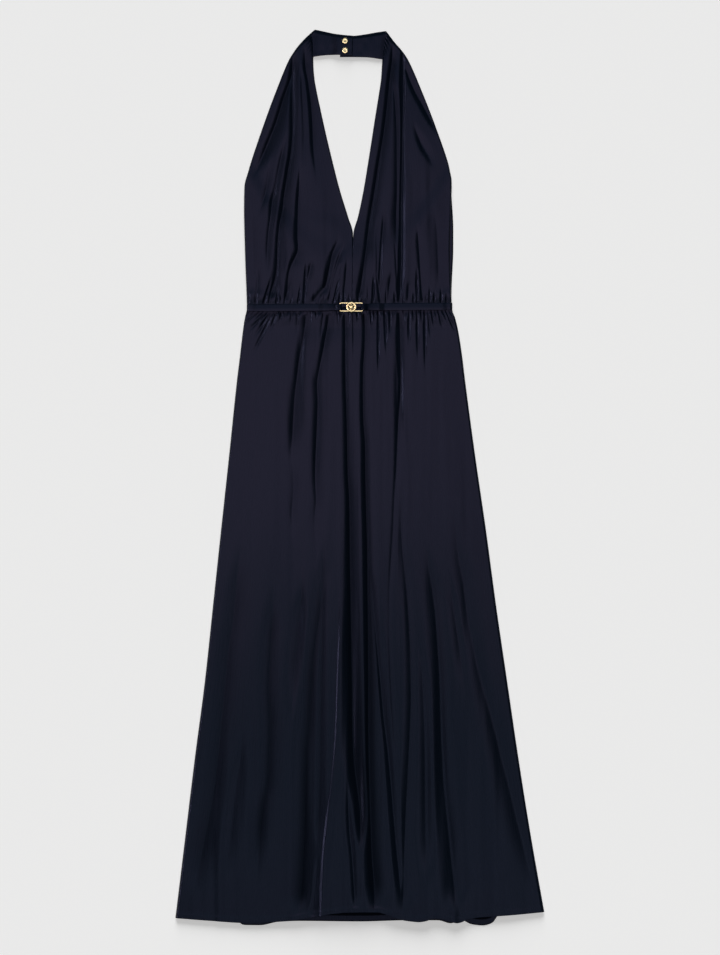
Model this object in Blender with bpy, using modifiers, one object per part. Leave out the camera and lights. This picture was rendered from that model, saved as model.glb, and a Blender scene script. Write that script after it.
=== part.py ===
"""Backless halter-neck maxi dress in satin, laid out flat on its back.

The frame has +Z up, +X to the right of someone looking down at the dress, and +Y
from the hem to the neck. The origin is the middle of the dress, on the surface it
lies on. Heights in the tables are millimetres above the hem's lowest point.
"""

import math
from collections import namedtuple

import bmesh
import bpy
import numpy as np

MM = 0.001

# Driving dimensions, in millimetres
LENGTH = 1478.0
WAIST_HEIGHT = 1018.0
WAIST_LEFT = -186.2
WAIST_RIGHT = 151.8
WALL = 1.1
SEAM_GAP = 0.3
STEEPEST_WALL = 1.6

# Belt: a flat tube of the dress's own satin, and the metal buckle that joins it
BELT_WIDTH = 12.0
BELT_THICKNESS = 1.6
BELT_HEIGHT = 1019.8
BELT_TILT = 0.008
BELT_RISE = 0.9
BELT_END_WIDTH = 9.6
BELT_SIDE_CLEARANCE = 0.3
FRONT_RUN_START = 15.0
FRONT_RUN_END = 14.0
SIDE_DROP_START = 9.0
SIDE_DROP_END = 4.0
BACK_RUN_INSET = 8.0
BACK_RUN_POINTS = 7
END_TAPER = (6.0, 26.0)
BELT_HUMP_REACH = 9.5
BELT_HUMP_FADE = 9.0
FRONT_HUMP_REACH = 17.0
FRONT_HUMP_FADE = 20.0
BUCKLE_X = -14.3
BUCKLE_LENGTH = 36.4
BUCKLE_DEPTH = 13.2
BUCKLE_CORNER = 1.5
BUCKLE_WIRE = 2.4
ARC_STEP = 22.5
ARC_POINTS = 9

# Neckband: two straps that lap at the nape and close with two press studs
BAND_THICKNESS = 1.6
LAP_LEFT = -33.0
LAP_RIGHT = -11.6
STUD_X = -24.7
STUD_HEIGHTS = {"snap_upper": 1458.4, "snap_lower": 1442.6}
LAP_CLIMB_START = 16.0
LAP_CLIMB_END = 2.0

# Back of the bodice: a low scoop between the side seams
SCOOP_CENTRE_HEIGHT = 1062.0
SCOOP_SIDE_HEIGHT = 1212.0
SCOOP_POWER = 2.2
SCOOP_SPREAD_LEFT = 3.0
SCOOP_SPREAD_RIGHT = 2.7
PANEL_INSET = 0.6
SCOOP_SPREAD_FROM = 1040.0
SCOOP_SPREAD_TO = 1120.0
SCOOP_DROP_RUN = (30.0, 60.0)

# How far the front stands off the back: the height of each swell, and the distances
# from the waist seam between which it grows
SKIRT_PUFF = 3.2
SKIRT_PUFF_RUN = (9.5, 40.0)
SKIRT_FULLNESS = 3.0
SKIRT_FULLNESS_RUN = (60.0, 500.0)
SKIRT_SIDE_SHARE = 0.10
HEM_ARCH = 4.5
HEM_ARCH_RUN = (700.0, 990.0)
HEM_ARCH_X = -10.0
HEM_ARCH_WIDTH = 62.0
HEM_WAVE = 4.0
HEM_WAVE_RUN = (850.0, 990.0)
HEM_WAVE_X = 128.0
HEM_WAVE_WIDTH = 60.0
HALTER_FULLNESS = 3.6
HALTER_FULLNESS_RUN = (14.0, 36.0)
HALTER_AT_NECK = 0.55
HALTER_NECK_SHARE = 0.12
HALTER_BLOUSE = 1.4
HALTER_BLOUSE_RUN = (0.55, 0.9)
NECKLINE_SHARE = 0.14
ARMHOLE_SHARE = 0.12

# Points across each panel and rows down it. Skirt rows are distances from the waist seam,
# halter rows are shares from the neck to the waist, and those listed as fine carry gathers.
SKIRT_FRONT_POINTS = 61
SKIRT_FRONT_ROWS = (
    0, 7, 14, 26, 44, 72, 120, 190, 270, 355, 440, 520, 600, 675, 745, 810, 870, 925, 970, 1000,
)
GATHERED_ROWS = 5
SKIRT_BACK_POINTS = 41
SKIRT_BACK_ROWS = (0, 8, 18, 120, 300, 480, 660, 840, 930, 985, 1010)
BODICE_BACK_POINTS = 33
BODICE_BACK_BELT_ROWS = (0.0, 11.0, 20.0)
BODICE_BACK_UPPER_SHARES = (0.33, 0.66, 1.0)
HALTER_POINTS = 25
HALTER_ROWS = (
    0.0, 0.05, 0.1, 0.16, 0.23, 0.31, 0.39, 0.47, 0.55, 0.63, 0.71, 0.78, 0.84,
    0.89, 0.93, 0.96, 0.98, 1.0,
)
HALTER_FINE_ROWS = (0, 1, 2, 12, 13, 14, 15, 16, 17)
BAND_POINTS = 5
BAND_ROWS = 15
TURNED_SIDES = 28

NAVY = (0.012, 0.013, 0.024, 1.0)
GOLD = (0.83, 0.62, 0.28, 1.0)


def table(columns, rows):
    row_type = namedtuple("Row", columns)
    return [row_type(*row) for row in rows]


# Side edges of the skirt at each height
SKIRT_SIDES = table("height left right", [
    (1018.0, -186.2, 151.8),
    (1009.0, -187.0, 152.6),
    (1000.0, -190.4, 158.0),
    (982.0, -193.0, 161.8),
    (899.0, -203.0, 173.4),
    (775.0, -216.0, 190.0),
    (528.0, -242.5, 224.5),
    (280.0, -272.0, 260.8),
    (0.0, -306.0, 308.0),
])

# Hem lines of the two skirt panels, seen from above
HEM_SHIFT = 10.0
FRONT_HEM = table("x height", [
    (-304.4, 13.0),
    (-250.0, 10.0),
    (-190.0, 6.5),
    (-120.0, 10.0),
    (-66.0, 18.0),
    (-20.0, 23.5),
    (28.0, 23.5),
    (68.0, 11.0),
    (95.0, 7.5),
    (120.0, 13.5),
    (138.0, 12.0),
    (158.0, 5.5),
    (174.0, 11.0),
    (218.0, 16.0),
    (304.4, 23.0),
])
BACK_HEM = table("x height", [
    (-304.4, 17.0),
    (-240.0, 14.0),
    (-205.0, 8.0),
    (-190.0, 0.8),
    (-165.0, 0.4),
    (-135.0, 7.0),
    (-100.0, 7.5),
    (0.0, 6.6),
    (75.0, 8.5),
    (128.0, 8.5),
    (148.0, 3.5),
    (166.0, 9.0),
    (182.0, 2.0),
    (200.0, 0.0),
    (216.0, 4.0),
    (232.0, 20.0),
    (304.4, 27.0),
])

# The two halter panels: a row runs from the neckline edge to the armhole edge,
# the first along the seam to the neckband and the last along the waist
LEFT_HALTER = table("inner_x inner_height outer_x outer_height", [
    (-77.0, 1432.0, -74.9, 1477.8),
    (-76.7, 1417.0, -94.0, 1460.0),
    (-75.0, 1397.0, -113.9, 1434.0),
    (-61.0, 1328.0, -141.9, 1368.0),
    (-33.0, 1213.0, -183.0, 1249.0),
    (-19.8, 1170.0, -190.8, 1217.0),
    (-11.5, 1139.0, -191.4, 1180.0),
    (-12.4, 1094.0, -189.9, 1114.0),
    (-13.2, 1018.0, -186.2, 1018.0),
])
RIGHT_HALTER = table("inner_x inner_height outer_x outer_height", [
    (36.6, 1428.0, 43.3, 1475.4),
    (35.8, 1414.0, 56.0, 1458.6),
    (34.7, 1397.6, 75.9, 1434.0),
    (24.0, 1328.0, 105.6, 1368.0),
    (5.0, 1209.5, 147.0, 1252.0),
    (-3.3, 1170.0, 151.4, 1224.0),
    (-11.1, 1139.0, 150.4, 1180.0),
    (-11.9, 1094.0, 148.6, 1114.0),
    (-12.7, 1018.0, 151.4, 1018.0),
])

# Outlines of the turned metal pieces, from the middle of the top out and down
STUD_PROFILE = table("radius height", [
    (0.0, 0.8), (1.5, 0.8), (1.9, 1.5), (2.6, 1.9), (3.6, 1.9),
    (4.5, 1.4), (5.0, 0.7), (4.8, 0.0), (0.0, 0.0),
])
MEDALLION_PROFILE = table("radius height", [
    (0.0, 2.9), (2.0, 2.6), (3.4, 1.8), (4.0, 1.2), (5.6, 1.2), (6.2, 2.0), (7.4, 2.2),
    (8.2, 1.7), (8.5, 1.0), (8.2, 0.2), (7.7, 0.0), (0.0, 0.0),
])

# The doubled end of the belt behind the buckle's bar: distance out from the bar, and
# height above the level named
HOOK_FRONT = (24.0, 18.0, 12.0, 6.0, 2.0)
HOOK_RETURN = table("reach level rise", [
    (2.0, "hook", -0.1), (5.0, "hook", -0.9), (9.0, "return", 0.4), (14.0, "return", 0.0),
    (26.0, "return", 0.0), (32.0, "between", 0.0), (38.0, "front", 0.0),
])

# The belt's section, as shares of its half width and half thickness
BELT_SECTION = table("across through", [
    (-1.0, -0.55), (-0.93, -1.0), (0.93, -1.0), (1.0, -0.55),
    (1.0, 0.55), (0.93, 1.0), (-0.93, 1.0), (-1.0, 0.55),
])

# Neckband edges, from the halter seam to the lap and from the lap to the seam
LEFT_BAND = table("top_x top_height foot_x foot_height", [
    (-74.3, 1477.8, -76.6, 1432.2),
    (-54.5, 1473.5, -62.7, 1434.4),
    (-36.3, 1469.7, -46.0, 1435.4),
    (-23.0, 1468.2, -30.0, 1435.2),
    (-11.6, 1467.3, -12.4, 1433.8),
])
RIGHT_BAND = table("top_x top_height foot_x foot_height", [
    (-33.0, 1466.4, -33.0, 1431.8),
    (-11.6, 1467.4, -13.0, 1431.9),
    (8.3, 1469.8, 8.3, 1431.6),
    (26.4, 1473.0, 22.0, 1430.4),
    (42.7, 1475.4, 36.1, 1427.9),
])

# Long folds, as troughs between the raised cloth. A row runs from the trough's
# upper end to its foot. Bow is its sideways bulge half-way, reach its width to
# each side, and fade the length over which it runs out at each end.
FOLD_COLUMNS = "x height foot_x foot_height bow depth reach_left reach_right fade foot_fade"
SKIRT_FOLDS = table(FOLD_COLUMNS, [
    (-92.0, 1018.0, -114.0, 676.0, -9.0, 4.5, 10.0, 8.0, 12.0, 140.0),
    (-54.5, 1018.0, -69.0, 559.0, -14.0, 4.5, 9.0, 9.0, 12.0, 200.0),
    (-74.0, 560.0, -92.0, 80.0, 0.0, 6.0, 20.0, 18.0, 160.0, 60.0),
    (-27.0, 1018.0, -4.0, 150.0, -4.0, 8.5, 10.0, 10.0, 12.0, 120.0),
    (4.0, 1000.0, 24.0, 60.0, 0.0, 9.0, 10.0, 10.0, 330.0, 60.0),
    (24.0, 480.0, 64.0, 30.0, 4.0, 6.0, 9.0, 11.0, 150.0, 30.0),
    (64.5, 1018.0, 49.0, 540.0, -1.0, 7.5, 11.0, 6.0, 12.0, 200.0),
    (76.0, 620.0, 84.0, 230.0, 0.0, 3.5, 13.0, 13.0, 150.0, 150.0),
    (120.0, 560.0, 150.0, 0.0, 0.0, 6.5, 18.0, 18.0, 180.0, 0.0),
    (188.0, 470.0, 280.0, 80.0, -6.0, 3.5, 26.0, 24.0, 160.0, 80.0),
    (-217.0, 560.0, -266.0, 90.0, 4.0, 3.5, 24.0, 24.0, 160.0, 80.0),
    (-154.0, 400.0, -176.0, 110.0, 0.0, 3.0, 18.0, 18.0, 130.0, 80.0),
    (-36.0, 600.0, -67.0, 0.0, 5.0, 8.0, 20.0, 9.0, 170.0, 0.0),
    (168.0, 150.0, 172.0, 0.0, 0.0, 6.0, 14.0, 12.0, 120.0, 0.0),
    (-165.0, 1013.0, -187.0, 990.0, 0.0, 1.6, 5.0, 5.0, 6.0, 6.0),
    (-152.0, 1007.0, -174.0, 980.0, 0.0, 1.6, 5.0, 5.0, 6.0, 10.0),
])
LEFT_FOLDS = table(FOLD_COLUMNS, [
    (-110.0, 1440.0, -139.0, 1040.0, 8.0, 4.2, 8.0, 8.0, 10.0, 30.0),
    (-92.0, 1434.0, -78.0, 1225.0, 8.0, 3.4, 7.0, 7.0, 10.0, 90.0),
    (-124.0, 1390.0, -175.0, 1248.0, -3.0, 3.4, 8.0, 8.0, 50.0, 30.0),
    (-124.0, 1296.0, -168.0, 1174.0, 0.0, 2.4, 7.0, 7.0, 40.0, 40.0),
    (-132.0, 1252.0, -162.0, 1070.0, 2.0, 2.8, 7.0, 7.0, 50.0, 50.0),
    (-106.0, 1126.0, -114.0, 1030.0, -5.0, 3.2, 7.0, 7.0, 40.0, 8.0),
    (-38.0, 1134.0, -74.0, 1034.0, 4.0, 3.6, 7.0, 7.0, 30.0, 8.0),
    (-82.0, 1090.0, -95.0, 1030.0, 0.0, 3.0, 6.0, 6.0, 30.0, 8.0),
])
RIGHT_FOLDS = table(FOLD_COLUMNS, [
    (66.0, 1440.0, 66.0, 1036.0, -3.0, 4.6, 9.0, 6.0, 10.0, 20.0),
    (47.0, 1432.0, 12.0, 1100.0, 2.0, 3.8, 7.0, 7.0, 10.0, 60.0),
    (82.0, 1416.0, 128.0, 1314.0, 0.0, 3.6, 7.0, 7.0, 30.0, 30.0),
    (88.0, 1322.0, 119.0, 1246.0, 0.0, 2.8, 8.0, 8.0, 30.0, 30.0),
    (36.0, 1200.0, 30.0, 1060.0, -3.0, 3.0, 7.0, 7.0, 40.0, 40.0),
    (95.0, 1150.0, 102.0, 1034.0, 0.0, 3.0, 7.0, 7.0, 40.0, 8.0),
    (43.0, 1120.0, 47.0, 1030.0, 0.0, 2.6, 6.0, 6.0, 40.0, 8.0),
    (18.0, 1110.0, 9.0, 1030.0, 0.0, 2.6, 6.0, 6.0, 30.0, 8.0),
])

# Gathers sewn into the waist seam: place along the waist, and how far each runs
GATHER_COLUMNS = "x length"
SKIRT_GATHERS = table(GATHER_COLUMNS, [
    (-174.0, 26.0), (-162.0, 32.0), (-151.0, 40.0), (-140.0, 30.0), (-126.0, 44.0),
    (-113.0, 34.0), (-103.0, 26.0), (-94.0, 70.0), (-78.0, 40.0), (-69.0, 30.0),
    (-56.0, 70.0), (-45.0, 26.0), (-36.0, 34.0), (-27.0, 70.0), (-14.0, 38.0),
    (-5.0, 30.0), (5.0, 66.0), (18.0, 36.0), (30.0, 52.0), (44.0, 34.0),
    (53.0, 44.0), (65.0, 70.0), (77.0, 40.0), (86.0, 30.0), (95.0, 56.0),
    (107.0, 66.0), (117.0, 40.0), (128.0, 34.0), (141.0, 26.0),
])
BODICE_GATHERS = table(GATHER_COLUMNS, [
    (-175.0, 22.0), (-165.0, 30.0), (-155.0, 24.0), (-145.0, 34.0), (-134.0, 44.0),
    (-124.0, 26.0), (-112.0, 46.0), (-102.0, 30.0), (-92.0, 40.0), (-82.0, 26.0),
    (-74.0, 46.0), (-65.0, 24.0), (-55.0, 36.0), (-46.0, 46.0), (-34.0, 24.0),
    (-24.0, 30.0), (-1.0, 26.0), (8.0, 40.0), (17.0, 26.0), (26.0, 40.0),
    (36.0, 24.0), (46.0, 42.0), (56.0, 26.0), (65.0, 50.0), (74.0, 30.0),
    (83.0, 40.0), (92.0, 24.0), (102.0, 46.0), (113.0, 26.0), (124.0, 22.0),
    (137.0, 24.0),
])
GATHER_REACH = 5.0
GATHER_AT_WAIST = 0.9
GATHER_PUFF = 2.3
GATHER_RISE_RUN = (13.0, 24.0)
GATHER_FALL_RUN = (28.0, 72.0)
GATHER_SIDE_RUN = (8.0, 22.0)
GATHER_FADE = 12.0
NECK_GATHERS = 6
NECK_GATHER_HEIGHT = 1.6
NECK_GATHER_LENGTH = 0.16


def smoothstep(low, high, value):
    share = np.clip((value - low) / (high - low), 0.0, 1.0)
    return share * share * (3.0 - 2.0 * share)


def smooth_curve(places, values, at):
    """A smooth curve through a table's points, with no overshoot between them."""
    places = np.asarray(places, float)
    values = np.asarray(values, float)
    slopes = np.diff(values) / np.diff(places)
    tangents = np.zeros_like(values)
    for i in range(1, len(values) - 1):
        if slopes[i - 1] * slopes[i] > 0.0:
            tangents[i] = 2.0 * slopes[i - 1] * slopes[i] / (slopes[i - 1] + slopes[i])
    tangents[0], tangents[-1] = slopes[0], slopes[-1]
    at = np.clip(at, places[0], places[-1])
    i = np.clip(np.searchsorted(places, at, side="right") - 1, 0, len(places) - 2)
    span = places[i + 1] - places[i]
    t = (at - places[i]) / span
    return (
        values[i] * (1 + 2 * t) * (1 - t) ** 2
        + values[i + 1] * t * t * (3 - 2 * t)
        + tangents[i] * span * t * (1 - t) ** 2
        - tangents[i + 1] * span * t * t * (1 - t)
    )


def column(rows, name):
    return np.array([getattr(row, name) for row in rows])


def rows_between(rows, name, share):
    """A column of an edge table, read smoothly at shares from its first row to its last."""
    return smooth_curve(np.linspace(0.0, 1.0, len(rows)), column(rows, name), share)


# What lies beneath the cloth

def belt_height(x):
    return BELT_HEIGHT + BELT_TILT * x


def belt_hump(height, reach, fade):
    """How far cloth is lifted by the belt that passes under it."""
    away = np.abs(height - BELT_HEIGHT)
    return (BELT_THICKNESS + SEAM_GAP) * np.clip((reach + fade - away) / fade, 0.0, 1.0)


def scoop_height(x):
    centre = (WAIST_LEFT + WAIST_RIGHT) / 2
    half_width = (WAIST_RIGHT - WAIST_LEFT) / 2
    rise = SCOOP_SIDE_HEIGHT - SCOOP_CENTRE_HEIGHT
    return SCOOP_CENTRE_HEIGHT + rise * np.clip(np.abs(x - centre) / half_width, 0, 1) ** SCOOP_POWER


def front_support(x, height):
    """The surface that the front panels lie on: the back panels, or the table above them."""
    over_back = belt_hump(height, FRONT_HUMP_REACH, FRONT_HUMP_FADE) + WALL + SEAM_GAP
    past_scoop = height - scoop_height(x)
    return over_back * (1.0 - smoothstep(*SCOOP_DROP_RUN, past_scoop))


# Shape of the cloth

def fold_depths(folds, x, height):
    depth = np.zeros_like(x)
    for fold in folds:
        run_x, run_y = fold.foot_x - fold.x, fold.foot_height - fold.height
        length = math.hypot(run_x, run_y)
        along = ((x - fold.x) * run_x + (height - fold.height) * run_y) / length
        across = ((height - fold.height) * run_x - (x - fold.x) * run_y) / length
        share = np.clip(along / length, 0.0, 1.0)
        across = across - fold.bow * 4.0 * share * (1.0 - share)
        reach = np.where(across < 0.0, fold.reach_left, fold.reach_right)
        profile = np.cos(np.clip(np.abs(across) / reach, 0.0, 1.0) * math.pi / 2) ** 2
        start = smoothstep(-0.001, max(fold.fade, 0.001), along)
        end = smoothstep(-0.001, max(fold.foot_fade, 0.001), length - along)
        depth = np.maximum(depth, fold.depth * profile * start * end)
    return depth


def gather_puffs(gathers, waist_x, distance):
    """Height of the small puffs between the waist gathers, at a distance from the waist seam."""
    height = GATHER_AT_WAIST + (GATHER_PUFF - GATHER_AT_WAIST) * smoothstep(*GATHER_RISE_RUN, distance)
    height = height * (1.0 - smoothstep(*GATHER_FALL_RUN, distance))
    valley = np.zeros_like(waist_x)
    for gather in gathers:
        profile = np.cos(np.clip(np.abs(waist_x - gather.x) / GATHER_REACH, 0, 1) * math.pi / 2) ** 2
        run_out = 1.0 - smoothstep(0.55 * gather.length, gather.length + GATHER_FADE, distance)
        valley = np.maximum(valley, profile * run_out)
    from_side = np.minimum(waist_x - WAIST_LEFT, WAIST_RIGHT - waist_x)
    sides = smoothstep(*GATHER_SIDE_RUN, from_side)
    return height * (1.0 - valley) * sides


def skirt_lift(share, distance, x):
    """How far the front of the skirt stands off the back, before its folds are pressed in."""
    sides = smoothstep(0.0, SKIRT_SIDE_SHARE, share) * smoothstep(1.0, 1.0 - SKIRT_SIDE_SHARE, share)
    puff = SKIRT_PUFF * smoothstep(*SKIRT_PUFF_RUN, distance)
    body = SKIRT_FULLNESS * smoothstep(*SKIRT_FULLNESS_RUN, distance)
    hem_arch = HEM_ARCH * smoothstep(*HEM_ARCH_RUN, distance)
    hem_arch = hem_arch * np.exp(-(((x - HEM_ARCH_X) / HEM_ARCH_WIDTH) ** 2))
    hem_wave = HEM_WAVE * smoothstep(*HEM_WAVE_RUN, distance)
    hem_wave = hem_wave * np.exp(-(((x - HEM_WAVE_X) / HEM_WAVE_WIDTH) ** 2))
    return sides * (puff + body + hem_arch + hem_wave)


def halter_lift(share, down, distance):
    """The same for a halter panel; share runs from neckline to armhole, down from neck to waist."""
    edges = smoothstep(0.0, NECKLINE_SHARE, share) * smoothstep(1.0, 1.0 - ARMHOLE_SHARE, share)
    at_neck = HALTER_AT_NECK + (1.0 - HALTER_AT_NECK) * smoothstep(0.0, HALTER_NECK_SHARE, down)
    blouse = HALTER_BLOUSE * smoothstep(*HALTER_BLOUSE_RUN, down)
    pressed = smoothstep(*HALTER_FULLNESS_RUN, distance)
    return edges * (HALTER_FULLNESS * at_neck + blouse) * pressed


# Meshes

def new_material(name, colour, roughness, metallic):
    material = bpy.data.materials.new(name)
    material.use_nodes = True
    shader = material.node_tree.nodes["Principled BSDF"]
    shader.inputs["Base Color"].default_value = colour
    shader.inputs["Roughness"].default_value = roughness
    shader.inputs["Metallic"].default_value = metallic
    material.diffuse_color = colour
    return material


def add_object(name, data, material):
    obj = bpy.data.objects.new(name, data)
    obj.data.materials.append(material)
    bpy.data.collections["halter_dress"].objects.link(obj)
    return obj


def in_frame(x, height, z):
    """Table millimetres to metres in the part's frame."""
    return np.stack([x, height - LENGTH / 2, z], axis=-1) * MM


def bridge_rows(bm, first, second, first_shares, second_shares):
    """Faces between two rows of points that may differ in number, matched by their shares."""
    i = j = 0
    while i < len(first) - 1 or j < len(second) - 1:
        next_first = first_shares[i + 1] if i < len(first) - 1 else math.inf
        next_second = second_shares[j + 1] if j < len(second) - 1 else math.inf
        if abs(next_first - next_second) < 1e-9:
            bm.faces.new((first[i], first[i + 1], second[j + 1], second[j]))
            i, j = i + 1, j + 1
        elif next_first < next_second:
            bm.faces.new((first[i], first[i + 1], second[j]))
            i += 1
        else:
            bm.faces.new((first[i], second[j + 1], second[j]))
            j += 1


def cloth_wall(name, upper_rows, lower_rows, material):
    """One closed wall of cloth between two stacks of rows. A row is (shares, points)."""
    bm = bmesh.new()
    upper = [[bm.verts.new(point) for point in points] for _, points in upper_rows]
    lower = [[bm.verts.new(point) for point in points] for _, points in lower_rows]
    for verts, rows in ((upper, upper_rows), (lower, lower_rows)):
        for r in range(len(rows) - 1):
            bridge_rows(bm, verts[r], verts[r + 1], rows[r][0], rows[r + 1][0])
    for r in range(len(upper) - 1):
        for end in (0, -1):
            bm.faces.new((upper[r][end], upper[r + 1][end], lower[r + 1][end], lower[r][end]))
    for r in (0, -1):
        bridge_rows(bm, upper[r], lower[r], upper_rows[r][0], lower_rows[r][0])
    bmesh.ops.recalc_face_normals(bm, faces=bm.faces)
    mesh = bpy.data.meshes.new(name)
    bm.to_mesh(mesh)
    bm.free()
    mesh.shade_smooth()
    obj = add_object(name, mesh, material)
    if signed_volume(mesh) < 0.0:
        mesh.flip_normals()
    return obj


def signed_volume(mesh):
    mesh.calc_loop_triangles()
    corners = [[mesh.vertices[i].co for i in tri.vertices] for tri in mesh.loop_triangles]
    return sum(a.dot(b.cross(c)) for a, b, c in corners) / 6.0


def wall_heights(x, height, z):
    """Upper surface over a lower one, so that the wall keeps its thickness on slopes."""
    across = np.gradient(z, axis=1) / np.hypot(np.gradient(x, axis=1), np.gradient(height, axis=1))
    down = np.gradient(z, axis=0) / np.hypot(np.gradient(x, axis=0), np.gradient(height, axis=0))
    return z + WALL * np.minimum(np.sqrt(1.0 + across**2 + down**2), STEEPEST_WALL)


def gathered_panel(name, place, base, puffs, shares, downs, fine_rows, material):
    """A front panel: large folds in the whole wall, and gathers raised in its upper points.

    place(share, down) gives a point seen from above, base its lower surface and puffs
    what the gathers add. Rows listed in fine_rows have twice as many points on top.
    """
    share_grid, down_grid = np.meshgrid(shares, downs)
    x, height = place(share_grid, down_grid)
    z = base(share_grid, down_grid, x, height)
    top = wall_heights(x, height, z)
    lower_rows = [(shares, in_frame(x[r], height[r], z[r])) for r in range(len(downs))]
    upper_rows = []
    fine = np.sort(np.concatenate([shares, (shares[1:] + shares[:-1]) / 2]))
    for r, down in enumerate(downs):
        row_shares = fine if r in fine_rows else shares
        row_x, row_height = place(row_shares, np.full_like(row_shares, down))
        row_z = np.interp(row_shares, shares, top[r])
        row_z = row_z + puffs(row_shares, down, row_height)
        upper_rows.append((row_shares, in_frame(row_x, row_height, row_z)))
    return cloth_wall(name, upper_rows, lower_rows, material)


# Pieces of the dress

def skirt_place(hem, inset):
    def place(share, down):
        top = WAIST_HEIGHT - SEAM_GAP / 2
        side_heights = column(SKIRT_SIDES, "height")[::-1]
        near = WAIST_LEFT + share * (WAIST_RIGHT - WAIST_LEFT)
        near = near + (share - 0.5) * down * (column(hem, "x")[-1] * 2 - WAIST_RIGHT + WAIST_LEFT)
        near = near - HEM_SHIFT * down * (1.0 - share)
        foot = smooth_curve(column(hem, "x"), column(hem, "height"), near)
        height = top + (foot - top) * down
        left = smooth_curve(side_heights, column(SKIRT_SIDES, "left")[::-1], height) + inset
        right = smooth_curve(side_heights, column(SKIRT_SIDES, "right")[::-1], height) - inset
        return left + share * (right - left), height
    return place


def make_skirt_front(material):
    place = skirt_place(FRONT_HEM, 0.0)

    def base(share, down, x, height):
        distance = WAIST_HEIGHT - height
        lift = skirt_lift(share, distance, x)
        folds = fold_depths(SKIRT_FOLDS, x, height)
        return front_support(x, height) + np.maximum(lift - folds, 0.0)

    def puffs(share, down, height):
        waist_x = WAIST_LEFT + share * (WAIST_RIGHT - WAIST_LEFT)
        return gather_puffs(SKIRT_GATHERS, waist_x, WAIST_HEIGHT - height)

    shares = np.linspace(0.0, 1.0, SKIRT_FRONT_POINTS)
    downs = np.array(SKIRT_FRONT_ROWS) / SKIRT_FRONT_ROWS[-1]
    return gathered_panel("skirt_front", place, base, puffs, shares, downs, range(GATHERED_ROWS), material)


def make_skirt_back(material):
    place = skirt_place(BACK_HEM, PANEL_INSET)
    shares = np.linspace(0.0, 1.0, SKIRT_BACK_POINTS)
    share_grid, down_grid = np.meshgrid(shares, np.array(SKIRT_BACK_ROWS) / SKIRT_BACK_ROWS[-1])
    x, height = place(share_grid, down_grid)
    lower = belt_hump(height, BELT_HUMP_REACH, BELT_HUMP_FADE)
    return plain_wall("skirt_back", shares, x, height, lower, lower + WALL, material)


def plain_wall(name, shares, x, height, lower, upper, material):
    rows = range(len(x))
    upper_rows = [(shares, in_frame(x[r], height[r], upper[r])) for r in rows]
    lower_rows = [(shares, in_frame(x[r], height[r], lower[r])) for r in rows]
    return cloth_wall(name, upper_rows, lower_rows, material)


def make_bodice_back(material):
    """A low back: its upper edge scoops down from the underarm to just above the waist."""
    shares = np.linspace(0.0, 1.0, BODICE_BACK_POINTS)
    x_waist = WAIST_LEFT + PANEL_INSET + shares * (WAIST_RIGHT - WAIST_LEFT - 2 * PANEL_INSET)
    over_belt = np.array(BODICE_BACK_BELT_ROWS)[:, None]
    above_belt = np.array(BODICE_BACK_UPPER_SHARES)[:, None]
    foot = WAIST_HEIGHT + SEAM_GAP / 2
    belt_rows = foot + over_belt + 0.0 * x_waist
    upper_rows = belt_rows[-1] + (scoop_height(x_waist) - belt_rows[-1]) * above_belt
    height = np.concatenate([belt_rows, upper_rows])
    spread = np.where(shares < 0.5, -SCOOP_SPREAD_LEFT, SCOOP_SPREAD_RIGHT)
    spread = spread * smoothstep(0.8, 1.0, np.abs(2.0 * shares - 1.0))
    x = x_waist + spread * smoothstep(SCOOP_SPREAD_FROM, SCOOP_SPREAD_TO, height)
    lower = belt_hump(height, BELT_HUMP_REACH, BELT_HUMP_FADE)
    return plain_wall("bodice_back", shares, x, height, lower, lower + WALL, material)


def make_halter(name, edges, folds, material):
    def place(share, down):
        inner_x = rows_between(edges, "inner_x", down)
        outer_x = rows_between(edges, "outer_x", down)
        inner_height = rows_between(edges, "inner_height", down)
        outer_height = rows_between(edges, "outer_height", down)
        height = inner_height + share * (outer_height - inner_height)
        at_waist = SEAM_GAP / 2 * smoothstep(0.9, 1.0, down)
        return inner_x + share * (outer_x - inner_x), height + at_waist

    def base(share, down, x, height):
        lift = halter_lift(share, down, height - WAIST_HEIGHT)
        return front_support(x, height) + np.maximum(lift - fold_depths(folds, x, height), 0.0)

    def puffs(share, down, height):
        waist_x = edges[-1].inner_x + share * (edges[-1].outer_x - edges[-1].inner_x)
        at_waist = gather_puffs(BODICE_GATHERS, waist_x, height - WAIST_HEIGHT)
        wave = 0.5 - 0.5 * np.cos(share * NECK_GATHERS * 2.0 * math.pi)
        at_neck = NECK_GATHER_HEIGHT * wave * (1.0 - smoothstep(0.02, NECK_GATHER_LENGTH, down))
        return at_waist + at_neck

    shares = np.linspace(0.0, 1.0, HALTER_POINTS)
    downs = np.array(HALTER_ROWS)
    return gathered_panel(name, place, base, puffs, shares, downs, HALTER_FINE_ROWS, material)


def make_neckband(name, edges, on_top, material):
    """Half of the neckband. The upper half climbs over the end of the lower one at the lap."""
    shares = np.linspace(0.0, 1.0, BAND_POINTS)
    downs = np.linspace(0.0, 1.0, BAND_ROWS)
    share_grid, down_grid = np.meshgrid(shares, downs)
    top_x = rows_between(edges, "top_x", down_grid)
    foot_x = rows_between(edges, "foot_x", down_grid)
    top_height = rows_between(edges, "top_height", down_grid)
    foot_height = rows_between(edges, "foot_height", down_grid)
    x = top_x + share_grid * (foot_x - top_x)
    height = top_height + share_grid * (foot_height - top_height)
    lower = np.zeros_like(x)
    if on_top:
        lower = (BAND_THICKNESS + SEAM_GAP) * smoothstep(LAP_LEFT - LAP_CLIMB_START, LAP_LEFT - LAP_CLIMB_END, x)
    return plain_wall(name, shares, x, height, lower, lower + BAND_THICKNESS, material)


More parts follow.
